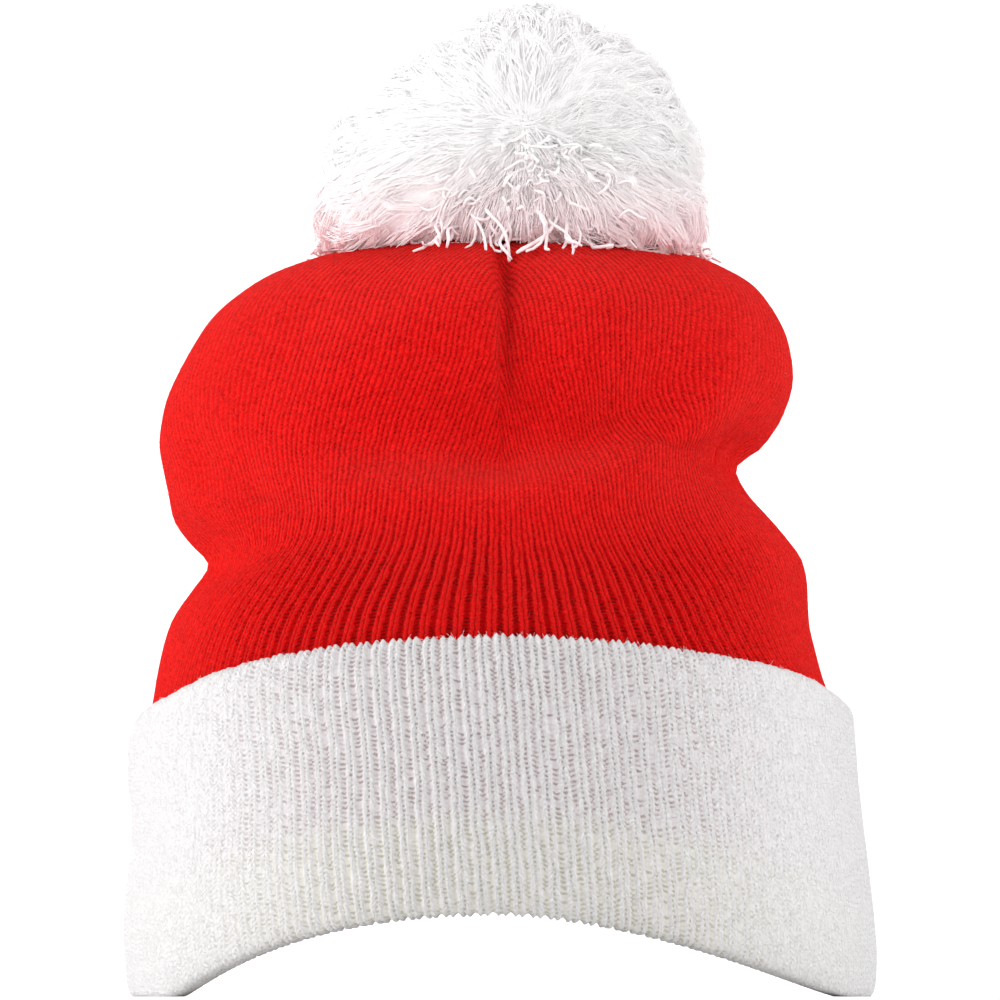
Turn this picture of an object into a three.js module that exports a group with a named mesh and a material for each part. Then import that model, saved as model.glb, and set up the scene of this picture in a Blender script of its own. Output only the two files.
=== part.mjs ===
// A knitted bobble hat: red ribbed crown, white turned-up ribbed cuff, white
// yarn pompom tied on at the top. Millimetres, +Z up, front towards -Y.
//
// The hat stands on the left and right sides of its cuff; between them the rim
// arches up at the front and at the back. Angles run round the hat in degrees:
// 0 at the front, 90 at the right (+X), 180 at the back, -90 at the left.
import * as THREE from 'three';

// ---- driving sizes -------------------------------------------------------
const CROWN_WALL = 3.0;        // knit thickness of the crown
const LEAF_OUTER = 3.2;        // knit thickness of the cuff's visible leaf
const LEAF_INNER = 3.0;        // knit thickness of the leaf turned inside
const LEAF_GAP = 0.6;          // slack between the visible leaf and what is behind it
const CUFF_TOP = 76.0;         // top edge of the visible leaf, above the fold
const COLOUR_CHANGE = 26.2;    // top of the inner leaf, where white yarn ends
const HEM_GAP = 0.5;           // between the inner leaf and the crown's hem
const BAND_TOP = 101.0;        // the crown's lower band, the double part over the head, ends here
const FOLD_FLAT = 3.3;         // width of the fold's underside, flat where it rests
const FOLD_ROUND = 5.0;        // height over which the fold rounds off
const BEHIND_LEAF = LEAF_OUTER + LEAF_GAP;
const CUFF_DEPTH = BEHIND_LEAF + LEAF_INNER;
const POMPOM_FLOOR = 187.5;    // underside of the pompom, just above the crown
const SOCKET_R = 2.6;          // passage in the pompom for its tie
const SOCKET_TOP = 197.0;
const TIE_R = 2.0;             // the yarn tie through the crown's eyelet
const TIE_TOP = 196.0;

// ---- short tables --------------------------------------------------------
// Visible face of the cuff: half widths and half depths by height over the fold.
const CUFF_FACE = [
  { h: 0, left: 92.4, right: 93.2, front: 106.4, back: 106.4 },
  { h: 10, left: 93.0, right: 93.4, front: 107.0, back: 107.0 },
  { h: 20, left: 93.4, right: 92.6, front: 107.0, back: 107.0 },
  { h: 30, left: 92.6, right: 91.6, front: 106.6, back: 106.8 },
  { h: 40, left: 91.6, right: 90.6, front: 106.0, back: 106.2 },
  { h: 50, left: 91.6, right: 89.8, front: 105.2, back: 105.6 },
  { h: 60, left: 92.4, right: 89.0, front: 104.2, back: 104.6 },
  { h: 68, left: 92.4, right: 88.4, front: 103.2, back: 103.8 },
  { h: 76, left: 91.0, right: 88.0, front: 102.0, back: 102.8 },
];

// Crown above the cuff, outer face: a row for each level, bottom to top. The
// slack knit is pinched in low on the left and higher on the right.
const CROWN_FACE = [
  { z: 80.0, left: 86.4, right: 81.4, front: 97.6, back: 98.2 },
  { z: 87.0, left: 84.8, right: 78.8, front: 96.2, back: 97.0 },
  { z: 94.0, left: 82.2, right: 77.0, front: 94.4, back: 95.6 },
  { z: 100.8, left: 77.32, right: 76.9, front: 92.46, back: 94.24 },
  { z: 101.2, left: 77.08, right: 76.9, front: 92.34, back: 94.16 },
  { z: 108.0, left: 72.8, right: 75.6, front: 90.2, back: 92.6 },
  { z: 114.0, left: 77.6, right: 71.4, front: 87.6, back: 90.6 },
  { z: 120.0, left: 81.6, right: 66.6, front: 84.6, back: 88.6 },
  { z: 126.5, left: 83.0, right: 61.6, front: 80.8, back: 86.4 },
  { z: 132.0, left: 84.0, right: 59.2, front: 77.2, back: 84.4 },
  { z: 138.5, left: 85.0, right: 66.6, front: 74.6, back: 82.0 },
  { z: 146.0, left: 84.2, right: 71.0, front: 73.2, back: 79.4 },
  { z: 155.0, left: 81.2, right: 73.4, front: 71.2, back: 76.4 },
  { z: 163.0, left: 77.2, right: 72.4, front: 67.8, back: 72.0 },
  { z: 170.0, left: 72.2, right: 69.6, front: 63.4, back: 66.4 },
  { z: 176.0, left: 65.0, right: 65.4, front: 57.0, back: 59.6 },
  { z: 180.5, left: 57.0, right: 59.2, front: 50.0, back: 52.0 },
  { z: 184.5, left: 45.0, right: 50.0, front: 40.0, back: 42.0 },
  { z: 186.8, left: 30.0, right: 33.0, front: 27.0, back: 28.0 },
  { z: 187.0, left: 15.0, right: 16.5, front: 14.0, back: 14.0 },
  { z: 185.0, left: 3.0, right: 3.0, front: 3.0, back: 3.0 },
];

// Folds and dents in the crown: each runs from one place to another along a
// curve drawn towards its middle point; push is outward, spread its half width.
const FOLDS = [
  { name: 'front_ridge', a0: -42, z0: 125, a1: 18, z1: 117, a2: 56, z2: 150, push: 3.6, spread: 7 },
  { name: 'front_valley', a0: -34, z0: 135, a1: 16, z1: 128, a2: 46, z2: 158, push: -5.0, spread: 8 },
  { name: 'front_dimple', a0: -2, z0: 139, a1: 3, z1: 141, a2: 6, z2: 144, push: -3.0, spread: 9 },
  { name: 'swell_left', a0: -24, z0: 156, a1: -16, z1: 160, a2: -10, z2: 168, push: 3.0, spread: 13 },
  { name: 'swell_right', a0: 9, z0: 150, a1: 14, z1: 154, a2: 20, z2: 166, push: 2.6, spread: 12 },
  { name: 'left_hollow', a0: -62, z0: 131, a1: -57, z1: 129, a2: -52, z2: 127, push: -3.0, spread: 9 },
  { name: 'left_pinch', a0: -76, z0: 108, a1: -58, z1: 110, a2: -38, z2: 119, push: -3.4, spread: 7 },
  { name: 'right_pinch', a0: 77, z0: 132, a1: 71, z1: 132, a2: 64, z2: 136, push: -3.4, spread: 7 },
  { name: 'back_left_pinch', a0: -104, z0: 108, a1: -120, z1: 110, a2: -140, z2: 118, push: -3.2, spread: 8 },
  { name: 'back_right_pinch', a0: 103, z0: 132, a1: 112, z1: 128, a2: 134, z2: 122, push: -3.0, spread: 8 },
  { name: 'back_ridge', a0: 142, z0: 128, a1: 180, z1: 118, a2: 222, z2: 126, push: 3.0, spread: 8 },
  { name: 'back_valley', a0: 146, z0: 138, a1: 180, z1: 130, a2: 216, z2: 137, push: -3.6, spread: 9 },
];

// Four darts gather the top of the crown: their angle, lower end and depth.
const DARTS = [
  { angle: 1, from: 144, depth: 3.6 },
  { angle: 90, from: 150, depth: 2.4 },
  { angle: 180, from: 148, depth: 2.6 },
  { angle: 270, from: 150, depth: 2.4 },
];
const DART_SPREAD = 3.6;

// Arches of the rim: which quarter, how many degrees from its middle it
// reaches, and the two powers that shape its curve.
const RIM_ARCH = [
  { quarter: 'front_left', middle: 0, side: -1, rise: 20.2, span: 62, inner: 2.2, outer: 1.3 },
  { quarter: 'front_right', middle: 0, side: 1, rise: 20.2, span: 74, inner: 1.7, outer: 2.0 },
  { quarter: 'back_left', middle: 180, side: -1, rise: 22.6, span: 66, inner: 2.2, outer: 1.3 },
  { quarter: 'back_right', middle: 180, side: 1, rise: 22.6, span: 68, inner: 2.0, outer: 1.5 },
];
const ARCH_FADE = [ // share of the arch that is left at a height over the fold
  { z: 0, share: 1 },
  { z: 76, share: 0.45 },
  { z: 130, share: 0 },
  { z: 260, share: 0 },
];
const RIGHT_LIFT = [ // the cuff sits a little higher on the right
  { z: 0, lift: 0 },
  { z: 76, lift: 1.3 },
  { z: 112, lift: 0 },
  { z: 260, lift: 0 },
];

const SIDE_DIP = [ // share of the dip of the cuff's top edge at its two sides
  { z: 0, share: 0 },
  { z: 30, share: 0.05 },
  { z: 76, share: 1 },
  { z: 100, share: 0 },
  { z: 260, share: 0 },
];
const DIP_LEFT = 5.6, DIP_RIGHT = 5.6;

// Pompom, outer form of the cut yarn, bottom to top; it leans to the right.
const POMPOM_FACE = [
  { z: 187.5, left: 28.0, right: 31.0, front: 27.0, back: 27.0 },
  { z: 188.2, left: 41.0, right: 45.0, front: 41.5, back: 41.5 },
  { z: 191.5, left: 46.4, right: 50.6, front: 47.0, back: 46.5 },
  { z: 197.0, left: 47.2, right: 51.6, front: 49.0, back: 48.0 },
  { z: 203.0, left: 47.0, right: 51.6, front: 49.4, back: 48.4 },
  { z: 209.0, left: 46.4, right: 51.4, front: 48.4, back: 47.4 },
  { z: 215.0, left: 44.8, right: 50.2, front: 46.4, back: 45.6 },
  { z: 221.0, left: 41.4, right: 48.2, front: 43.0, back: 42.4 },
  { z: 227.0, left: 35.0, right: 45.4, front: 38.4, back: 38.0 },
  { z: 233.0, left: 28.0, right: 41.6, front: 32.4, back: 32.0 },
  { z: 239.0, left: 17.0, right: 35.0, front: 25.0, back: 25.0 },
  { z: 244.0, left: 8.0, right: 25.0, front: 17.0, back: 17.0 },
  { z: 247.4, left: 0.6, right: 18.0, front: 10.0, back: 10.0 },
];
const POMPOM_TOP = { x: 9.5, y: 0, z: 249.0 };
// Tufts that stand out from the pompom's form.
const TUFTS = [
  { angle: -62, z: 232, push: 2.4, spread: 9 },
  { angle: 48, z: 230, push: 1.8, spread: 10 },
  { angle: -20, z: 213, push: -2.0, spread: 12 },
  { angle: 20, z: 204, push: 1.6, spread: 11 },
  { angle: 130, z: 222, push: 2.0, spread: 11 },
  { angle: 205, z: 212, push: 2.2, spread: 12 },
  { angle: 235, z: 198, push: -1.6, spread: 12 },
  { angle: 170, z: 200, push: -1.4, spread: 12 },
];

// Columns round the hat, closer together beside each dart.
const QUARTER_COLUMNS = [0, 3, 7.5, 13, 19, 25, 31, 38, 45, 52, 59, 65, 71, 77, 82.5, 87];
const ANGLES = [0, 90, 180, 270].flatMap((q) => QUARTER_COLUMNS.map((a) => q + a));

// ---- shape functions -----------------------------------------------------
const radians = THREE.MathUtils.degToRad;

function angleBetween(a, b) {
  return ((((a - b) % 360) + 540) % 360) - 180;
}

// Smooth value of one column of a table, with no overshoot between its rows.
function along(table, key, column, at) {
  const n = table.length;
  const slope = (i) => (table[i + 1][column] - table[i][column]) / (table[i + 1][key] - table[i][key]);
  const tangent = (i) => {
    if (i === 0) return slope(0);
    if (i === n - 1) return slope(n - 2);
    const before = slope(i - 1), after = slope(i);
    return before * after <= 0 ? 0 : (2 * before * after) / (before + after);
  };
  const clamped = Math.min(Math.max(at, table[0][key]), table[n - 1][key]);
  let i = 0;
  while (i < n - 2 && clamped > table[i + 1][key]) i += 1;
  const step = table[i + 1][key] - table[i][key];
  const u = (clamped - table[i][key]) / step;
  const p = table[i][column], q = table[i + 1][column];
  return (2 * u ** 3 - 3 * u ** 2 + 1) * p + (u ** 3 - 2 * u ** 2 + u) * step * tangent(i)
    + (3 * u ** 2 - 2 * u ** 3) * q + (u ** 3 - u ** 2) * step * tangent(i + 1);
}

function rimRise(angle) {
  for (const arch of RIM_ARCH) {
    const turn = angleBetween(angle, arch.middle) * (arch.middle === 180 ? -1 : 1) * arch.side;
    const u = turn / arch.span;
    if (u >= 0 && u < 1) return arch.rise * (1 - u ** arch.inner) ** arch.outer;
  }
  return 0;
}

// A point of the hat: an oval ring with its own half sizes, inset by a given
// amount, at a height that follows the arched rim.
function place(angle, size, z, inset = 0) {
  const s = Math.sin(radians(angle)), c = Math.cos(radians(angle));
  const wide = (s > 0 ? size.right : size.left) - inset;
  const deep = (c > 0 ? size.front : size.back) - inset;
  const toSide = 90 - Math.abs(90 - Math.abs(angleBetween(angle, 0)));
  const dip = (s > 0 ? DIP_RIGHT : DIP_LEFT) * smooth(48, 92, toSide);
  const lifted = z + rimRise(angle) * along(ARCH_FADE, 'z', 'share', z)
    + s * along(RIGHT_LIFT, 'z', 'lift', z) - dip * along(SIDE_DIP, 'z', 'share', z);
  return new THREE.Vector3(wide * s, -deep * c, lifted);
}

function cuffSize(h) {
  const size = {};
  for (const side of ['left', 'right', 'front', 'back']) size[side] = along(CUFF_FACE, 'h', side, h);
  return size;
}

function smooth(from, to, at) {
  const u = Math.min(Math.max((at - from) / (to - from), 0), 1);
  return u * u * (3 - 2 * u);
}

// How far the folds, dents and darts push the crown outward at a place.
function crownPush(angle, z) {
  const MM_PER_DEGREE = 1.4;
  let push = 0;
  for (const f of FOLDS) {
    let nearest = Infinity;
    for (let k = 0; k <= 24; k += 1) {
      const t = k / 24;
      const a = (1 - t) ** 2 * f.a0 + 2 * t * (1 - t) * f.a1 + t * t * f.a2;
      const h = (1 - t) ** 2 * f.z0 + 2 * t * (1 - t) * f.z1 + t * t * f.z2;
      nearest = Math.min(nearest, (angleBetween(angle, a) * MM_PER_DEGREE) ** 2 + (z - h) ** 2);
    }
    push += f.push * Math.exp(-nearest / (2 * f.spread ** 2)) * smooth(186, 174, z);
  }
  for (const d of DARTS) {
    const off = angleBetween(angle, d.angle) * 1.15;
    push -= d.depth * smooth(d.from, d.from + 22, z) * smooth(187, 183, z) * Math.exp(-(off ** 2) / (2 * DART_SPREAD ** 2));
  }
  return push * smooth(82, 98, z);
}

// Outward normals of a grid of points, grid[ring][column], rings bottom to top.
function normalsOf(grid) {
  const rings = grid.length, columns = grid[0].length;
  return grid.map((ring, r) => ring.map((_, c) => {
    const round = grid[r][(c + 1) % columns].clone().sub(grid[r][(c + columns - 1) % columns]);
    const up = grid[Math.min(r + 1, rings - 1)][c].clone().sub(grid[Math.max(r - 1, 0)][c]);
    return round.cross(up).normalize();
  }));
}

// Gives a ring and the one below it the same normals, so that walls that end
// there lie side by side.
function alike(normals, ring) {
  normals[ring].forEach((n, c) => normals[ring - 1][c].copy(n.add(normals[ring - 1][c]).normalize()));
  return normals;
}

// Closed surface swept round the hat: loops[k][column] is the k-th point of the
// section, in order round the section, and the last loop joins the first.
function sweptRing(loops) {
  const n = loops[0].length;
  const positions = loops.flatMap((loop) => loop.flatMap((p) => [p.x, p.y, p.z]));
  const index = [];
  loops.forEach((_, k) => {
    const next = (k + 1) % loops.length;
    for (let c = 0; c < n; c += 1) {
      const d = (c + 1) % n;
      index.push(k * n + c, k * n + d, next * n + d, k * n + c, next * n + d, next * n + c);
    }
  });
  return asGeometry(positions, index);
}

// Closed surface of stacked loops with a point at each end.
function stackedRings(first, loops, last) {
  const n = loops[0].length, top = 1 + loops.length * n;
  const positions = [first, ...loops.flat(), last].flatMap((p) => [p.x, p.y, p.z]);
  const index = [];
  for (let c = 0; c < n; c += 1) {
    const d = (c + 1) % n;
    index.push(0, 1 + d, 1 + c);
    for (let k = 0; k + 1 < loops.length; k += 1) {
      const low = 1 + k * n, high = low + n;
      index.push(low + c, low + d, high + d, low + c, high + d, high + c);
    }
    index.push(top - n + c, top - n + d, top);
  }
  return asGeometry(positions, index);
}

function asGeometry(positions, index) {
  const geometry = new THREE.BufferGeometry();
  geometry.setAttribute('position', new THREE.Float32BufferAttribute(positions, 3));
  geometry.setIndex(index);
  geometry.computeVertexNormals();
  return geometry;
}

// ---- pieces --------------------------------------------------------------
// The knit wall of the crown, as its lower band and the part above it.
function crownWalls() {
  // Behind the cuff the crown keeps the cuff's form, inset by the visible leaf.
  const hidden = [COLOUR_CHANGE + HEM_GAP, 34, 50, 68, 75].map((z) => ({ z, ...cuffSize(z), inset: BEHIND_LEAF }));
  const rows = [...hidden, ...CROWN_FACE.map((row) => ({ ...row, inset: 0 }))];
  const base = rows.map((row) => ANGLES.map((a) => place(a, row, row.z, row.inset)));
  const split = rows.findIndex((row) => row.z > BAND_TOP);
  const facing = alike(normalsOf(base), split);
  const outer = base.map((ring, r) => ring.map((p, c) => (
    p.clone().addScaledVector(facing[r][c], crownPush(ANGLES[c], rows[r].z)))));
  const outward = alike(normalsOf(outer), split);
  const inner = outer.map((ring, r) => ring.map((p, c) => {
    if (rows[r].inset > 0) return place(ANGLES[c], rows[r], rows[r].z, rows[r].inset + CROWN_WALL);
    return p.clone().addScaledVector(outward[r][c], -CROWN_WALL);
  }));
  const wall = (from, to) => sweptRing([...outer.slice(from, to), ...inner.slice(from, to).reverse()]);
  return { band: wall(0, split), top: wall(split, rows.length) };
}

function cuffGeometry() {
  const near = (CUFF_DEPTH - FOLD_FLAT) / 2;
  const section = [ // height over the fold and inset from the visible face, round the U
    [0, near], [2.4, 0.4], [FOLD_ROUND, 0],
    [15, 0], [28, 0], [42, 0], [56, 0], [68, 0], [CUFF_TOP - 1.2, 0.3], [CUFF_TOP, LEAF_OUTER / 2],
    [75, LEAF_OUTER - 0.2], [68, LEAF_OUTER], [50, LEAF_OUTER], [34, LEAF_OUTER], [26, LEAF_OUTER], [15, LEAF_OUTER],
    [FOLD_ROUND, LEAF_OUTER + LEAF_GAP / 2],
    [15, BEHIND_LEAF], [COLOUR_CHANGE, BEHIND_LEAF], [COLOUR_CHANGE, CUFF_DEPTH], [15, CUFF_DEPTH],
    [FOLD_ROUND, CUFF_DEPTH], [2.4, CUFF_DEPTH - 0.4], [0, CUFF_DEPTH - near],
  ];
  return sweptRing(section.map(([h, inset]) => {
    const size = cuffSize(h);
    return ANGLES.map((a) => place(a, size, h, inset));
  }));
}

function pompomGeometry() {
  const columns = Array.from({ length: 40 }, (_, c) => c * 9);
  const ring = (size, z) => columns.map((a) => {
    const s = Math.sin(radians(a)), c = Math.cos(radians(a));
    let grow = 0;
    for (const t of TUFTS) {
      const reach = ((angleBetween(a, t.angle) * 0.8) ** 2 + (z - t.z) ** 2) / (2 * t.spread ** 2);
      grow += t.push * Math.exp(-reach);
    }
    const share = 1 + (z > POMPOM_FLOOR + 1 ? grow / 48 : 0);
    const middle = (size.right - size.left) / 2, half = (size.right + size.left) / 2;
    const deep = c > 0 ? size.front : size.back;
    return new THREE.Vector3(middle + half * share * s, -deep * share * c, z);
  });
  const bore = { left: SOCKET_R, right: SOCKET_R, front: SOCKET_R, back: SOCKET_R };
  const loops = [ring(bore, SOCKET_TOP), ring(bore, POMPOM_FLOOR), ...POMPOM_FACE.map((row) => ring(row, row.z))];
  const end = new THREE.Vector3(0, 0, SOCKET_TOP);
  const top = new THREE.Vector3(POMPOM_TOP.x, POMPOM_TOP.y, POMPOM_TOP.z);
  return stackedRings(end, loops, top);
}

function tieGeometry() {
  // A knot under the crown and a short stem of yarn up into the pompom.
  const profile = [
    [0, 173.4], [3.4, 174.4], [5.0, 177.2], [3.8, 180.2], [TIE_R, 181.2], [TIE_R, TIE_TOP - 1], [0, TIE_TOP],
  ].map(([r, z]) => new THREE.Vector2(r, z));
  return new THREE.LatheGeometry(profile, 16).rotateX(Math.PI / 2);
}

function piece(name, geometry, colour, roughness) {
  const mesh = new THREE.Mesh(geometry, new THREE.MeshStandardMaterial({ color: colour, roughness, metalness: 0 }));
  mesh.name = name;
  return mesh;
}

const walls = crownWalls();
const hat = new THREE.Group();
hat.add(
  piece('crown', walls.top, 0xd81f1f, 0.9),
  piece('crown_band', walls.band, 0xd81f1f, 0.9),
  piece('cuff', cuffGeometry(), 0xf1eef0, 0.9),
  piece('pompom', pompomGeometry(), 0xf3eeef, 0.95),
  piece('pompom_tie', tieGeometry(), 0xefe6e8, 0.95),
);

export default hat;
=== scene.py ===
"""A knitted bobble hat: red ribbed crown, white turned-up ribbed cuff and a white
yarn pompom. The shapes are worked out in millimetres and made in metres, front
towards -Y. Angles run round the hat: 0 at the front, 90 degrees at the right (+X)."""
import math

import bpy
import numpy as np
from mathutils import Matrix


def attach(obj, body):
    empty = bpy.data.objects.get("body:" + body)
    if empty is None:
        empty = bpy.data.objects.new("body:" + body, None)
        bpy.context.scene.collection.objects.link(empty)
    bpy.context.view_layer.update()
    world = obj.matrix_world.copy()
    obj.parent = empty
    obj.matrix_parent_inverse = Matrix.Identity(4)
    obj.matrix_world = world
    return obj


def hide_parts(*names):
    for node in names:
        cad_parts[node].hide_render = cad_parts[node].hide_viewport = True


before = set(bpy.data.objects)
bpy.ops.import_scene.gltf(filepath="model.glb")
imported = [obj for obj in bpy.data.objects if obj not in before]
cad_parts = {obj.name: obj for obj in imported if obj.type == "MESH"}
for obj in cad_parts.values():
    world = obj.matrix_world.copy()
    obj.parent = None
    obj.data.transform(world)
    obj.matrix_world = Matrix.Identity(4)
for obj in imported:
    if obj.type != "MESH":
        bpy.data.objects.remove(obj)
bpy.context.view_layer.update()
rng = np.random.default_rng(20)

# ---- sizes of the knit ---------------------------------------------------
RIBS = 160               # rib repeats round the hat, 40 in each quarter
COURSE = 1.05            # height of one stitch
CUFF_COURSE = 1.30       # and of one in the cuff, which is drawn open
CUFF_TOP = 75.2
COLOUR_CHANGE = 26.2
LEAF_OUTER, LEAF_INNER, LEAF_GAP = 3.2, 3.0, 0.6
BEHIND_LEAF = LEAF_OUTER + LEAF_GAP
CUFF_DEPTH = BEHIND_LEAF + LEAF_INNER
CROWN_WALL = 3.0
HEM_GAP = 0.5
DART_FROM = 131.0        # height where wales begin to end at the darts
FAN_TO = 152.0           # height up to which the ribs at the front draw closer
DART_LOSS = 0.0080       # share of the wales lost at the darts for each mm up to there

SIDES = ("left", "right", "front", "back")
CUFF_FACE = [  # h, left, right, front, back
    (0, 92.4, 93.2, 106.4, 106.4),
    (10, 93.0, 93.4, 107.0, 107.0),
    (20, 93.4, 92.6, 107.0, 107.0),
    (30, 92.6, 91.6, 106.6, 106.8),
    (40, 91.6, 90.6, 106.0, 106.2),
    (50, 91.6, 89.8, 105.2, 105.6),
    (60, 92.4, 89.0, 104.2, 104.6),
    (68, 92.4, 88.4, 103.2, 103.8),
    (76, 91.0, 88.0, 102.0, 102.8),
]
CROWN_FACE = [  # z, left, right, front, back
    (80.0, 86.4, 81.4, 97.6, 98.2),
    (87.0, 84.8, 78.8, 96.2, 97.0),
    (94.0, 82.2, 77.0, 94.4, 95.6),
    (101.0, 77.2, 76.9, 92.4, 94.2),
    (108.0, 72.8, 75.6, 90.2, 92.6),
    (114.0, 77.6, 71.4, 87.6, 90.6),
    (120.0, 81.6, 66.6, 84.6, 88.6),
    (126.5, 83.0, 61.6, 80.8, 86.4),
    (132.0, 84.0, 59.2, 77.2, 84.4),
    (138.5, 85.0, 66.6, 74.6, 82.0),
    (146.0, 84.2, 71.0, 73.2, 79.4),
    (155.0, 81.2, 73.4, 71.2, 76.4),
    (163.0, 77.2, 72.4, 67.8, 72.0),
    (170.0, 72.2, 69.6, 63.4, 66.4),
    (176.0, 65.0, 65.4, 57.0, 59.6),
    (180.5, 57.0, 59.2, 50.0, 52.0),
    (184.5, 45.0, 50.0, 40.0, 42.0),
    (186.8, 30.0, 33.0, 27.0, 28.0),
    (187.0, 15.0, 16.5, 14.0, 14.0),
    (185.0, 3.0, 3.0, 3.0, 3.0),
]
FOLDS = [  # a0, z0, a1, z1, a2, z2, push, spread: a curve from a0,z0 towards a1,z1 to a2,z2
    (-38, 122, 18, 112, 54, 150, 3.6, 8),       # front ridge
    (-34, 131, 16, 121, 42, 153, -4.6, 7.5),    # front valley
    (11, 117, 32, 127, 54, 152, 1.7, 6),        # crisp right end of the ridge
    (12, 125, 29, 135, 42, 153, -2.2, 6),       # crisp right end of the valley
    (0, 134, 3, 137, 5, 141, -5.6, 8),          # front dimple
    (-24, 152, -16, 157, -11, 165, 3.4, 11),    # left swell
    (10, 147, 14, 151, 20, 163, 3.0, 10),       # right swell
    (-62, 129, -57, 127, -51, 125, -4.0, 8),    # left hollow
    (-76, 108, -58, 110, -38, 119, -3.4, 7),    # left pinch
    (77, 132, 71, 132, 64, 136, -3.4, 7),       # right pinch
    (-104, 108, -120, 110, -140, 118, -3.2, 8), # back left pinch
    (103, 132, 112, 128, 134, 122, -3.0, 8),    # back right pinch
    (142, 128, 180, 118, 222, 126, 3.0, 8),     # back ridge
    (146, 138, 180, 130, 216, 137, -3.6, 9),    # back valley
]
DARTS = [(1, 136, 3.4), (90, 150, 2.4), (180, 148, 2.6), (270, 150, 2.4)]  # angle, from, depth
RIM_ARCH = [  # middle, side, rise, span, inner power, outer power
    (0, -1, 19.0, 62, 2.2, 1.3),
    (0, 1, 19.0, 74, 1.7, 2.0),
    (180, -1, 24.5, 75, 2.2, 1.2),
    (180, 1, 24.5, 86, 1.7, 1.8),
]
ARCH_FADE = [(0, 1), (76, 0.45), (130, 0), (260, 0)]
CUFF_LEAN = 1.1          # ribs by which the cuff's wales lean over its height
PROUD = 0.5              # how far the crests of the ribs stand out of the plain walls
RIGHT_LIFT = [(0, 0), (76, 1.3), (112, 0), (260, 0)]
SIDE_DIP = [(0, 0), (30, 0.05), (76, 1), (100, 0), (260, 0)]  # share of the dip of the cuff's top edge at its sides
DIP = 6.2
# How the ribs crowd towards the front, by height: a positive share spreads them there.
RIB_SPREAD = [(0, 0.16), (66, 0.18), (78, 0.16), (86.6, 0.11), (94, 0.035), (105, -0.105), (115.6, -0.19), (131, -0.215), (152, -0.33), (260, -0.33)]


# ---- shape functions -----------------------------------------------------
def along(rows, at, column=1):
    """Smooth value of one column of a table by its first column, with no overshoot."""
    x = np.array([r[0] for r in rows], float)
    y = np.array([r[column] for r in rows], float)
    d = np.diff(y) / np.diff(x)
    m = np.empty(len(x))
    m[0], m[-1] = d[0], d[-1]
    prod = d[:-1] * d[1:]
    total = d[:-1] + d[1:]
    m[1:-1] = np.where(prod > 0, 2 * prod / np.where(np.abs(total) < 1e-12, 1, total), 0)
    at = np.clip(np.asarray(at, float), x[0], x[-1])
    i = np.clip(np.searchsorted(x, at, side="left") - 1, 0, len(x) - 2)
    step = x[i + 1] - x[i]
    u = (at - x[i]) / step
    return ((2 * u**3 - 3 * u**2 + 1) * y[i] + (u**3 - 2 * u**2 + u) * step * m[i]
            + (3 * u**2 - 2 * u**3) * y[i + 1] + (u**3 - u**2) * step * m[i + 1])


def smooth(a, b, at):
    u = np.clip((at - a) / (b - a), 0, 1)
    return u * u * (3 - 2 * u)


def between(a, b):
    return (a - b + 540) % 360 - 180


def rim_rise(angle):
    out = np.zeros_like(angle)
    for middle, side, rise, span, inner, outer in RIM_ARCH:
        turn = between(angle, middle) * (-1 if middle == 180 else 1) * side
        u = turn / span
        on = (u >= 0) & (u < 1)
        uu = np.clip(u, 0, 1)
        out = np.where(on, rise * (1 - uu**inner) ** outer, out)
    return out


def place(angle, sizes, z, inset=0.0):
    """Points of an oval ring with half sizes (left, right, front, back), inset, on the arched rim."""
    s, c = np.sin(np.radians(angle)), np.cos(np.radians(angle))
    left, right, front, back = sizes
    wide = np.where(s > 0, right, left) - inset
    deep = np.where(c > 0, front, back) - inset
    to_side = 90 - np.abs(90 - np.abs(between(angle, 0)))
    lifted = (z + rim_rise(angle) * along(ARCH_FADE, z) + s * along(RIGHT_LIFT, z)
              - DIP * smooth(48, 92, to_side) * along(SIDE_DIP, z))
    return np.stack([wide * s, -deep * c, lifted], axis=-1)


def cuff_sizes(h):
    return [along(CUFF_FACE, h, k) for k in (1, 2, 3, 4)]


def crown_push(angle, z):
    push = np.zeros_like(angle)
    for k, (a0, z0, a1, z1, a2, z2, size, spread) in enumerate(FOLDS):
        near = np.zeros_like(angle)
        for t in np.linspace(0, 1, 33):
            a = (1 - t) ** 2 * a0 + 2 * t * (1 - t) * a1 + t * t * a2
            h = (1 - t) ** 2 * z0 + 2 * t * (1 - t) * z1 + t * t * z2
            whole = smooth(-0.05, 0.2, t) * smooth(1.08, 0.62, t) if k < 4 else 1.0
            near = np.maximum(near, whole * np.exp(-((between(angle, a) * 1.4) ** 2 + (z - h) ** 2) / (2 * spread**2)))
        push += size * near * smooth(186, 174, z)
    for angle0, low, depth in DARTS:
        off = between(angle, angle0) * 1.15
        at = smooth(low, low + 22, z) * smooth(187, 176, z)
        wide = np.where(off > 0, 6.0, 1.8)  # the left side laps a little over the right one
        push -= depth * at * np.exp(-(off**2) / (2 * wide**2)) + 2.2 * at * np.exp(-((off - 0.5) ** 2) / (2 * 1.2**2))
    return push * smooth(82, 98, z)


def ripple(a, b, seed, octaves=5):
    """Gentle unevenness in -1..1 over an angle in degrees and a length in mm, closed round the hat."""
    r = np.random.default_rng(seed)
    out = np.zeros(np.broadcast(a, b).shape)
    for k in range(octaves):
        for _ in range(3):
            n = r.integers(2 + 3 * k, 6 + 5 * k)
            out += np.sin(np.radians(a) * n + b * r.uniform(-1, 1) * 0.09 * (1 + k) + r.uniform(0, 6.28)) / (1.3**k)
    return out / 6.0


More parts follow.
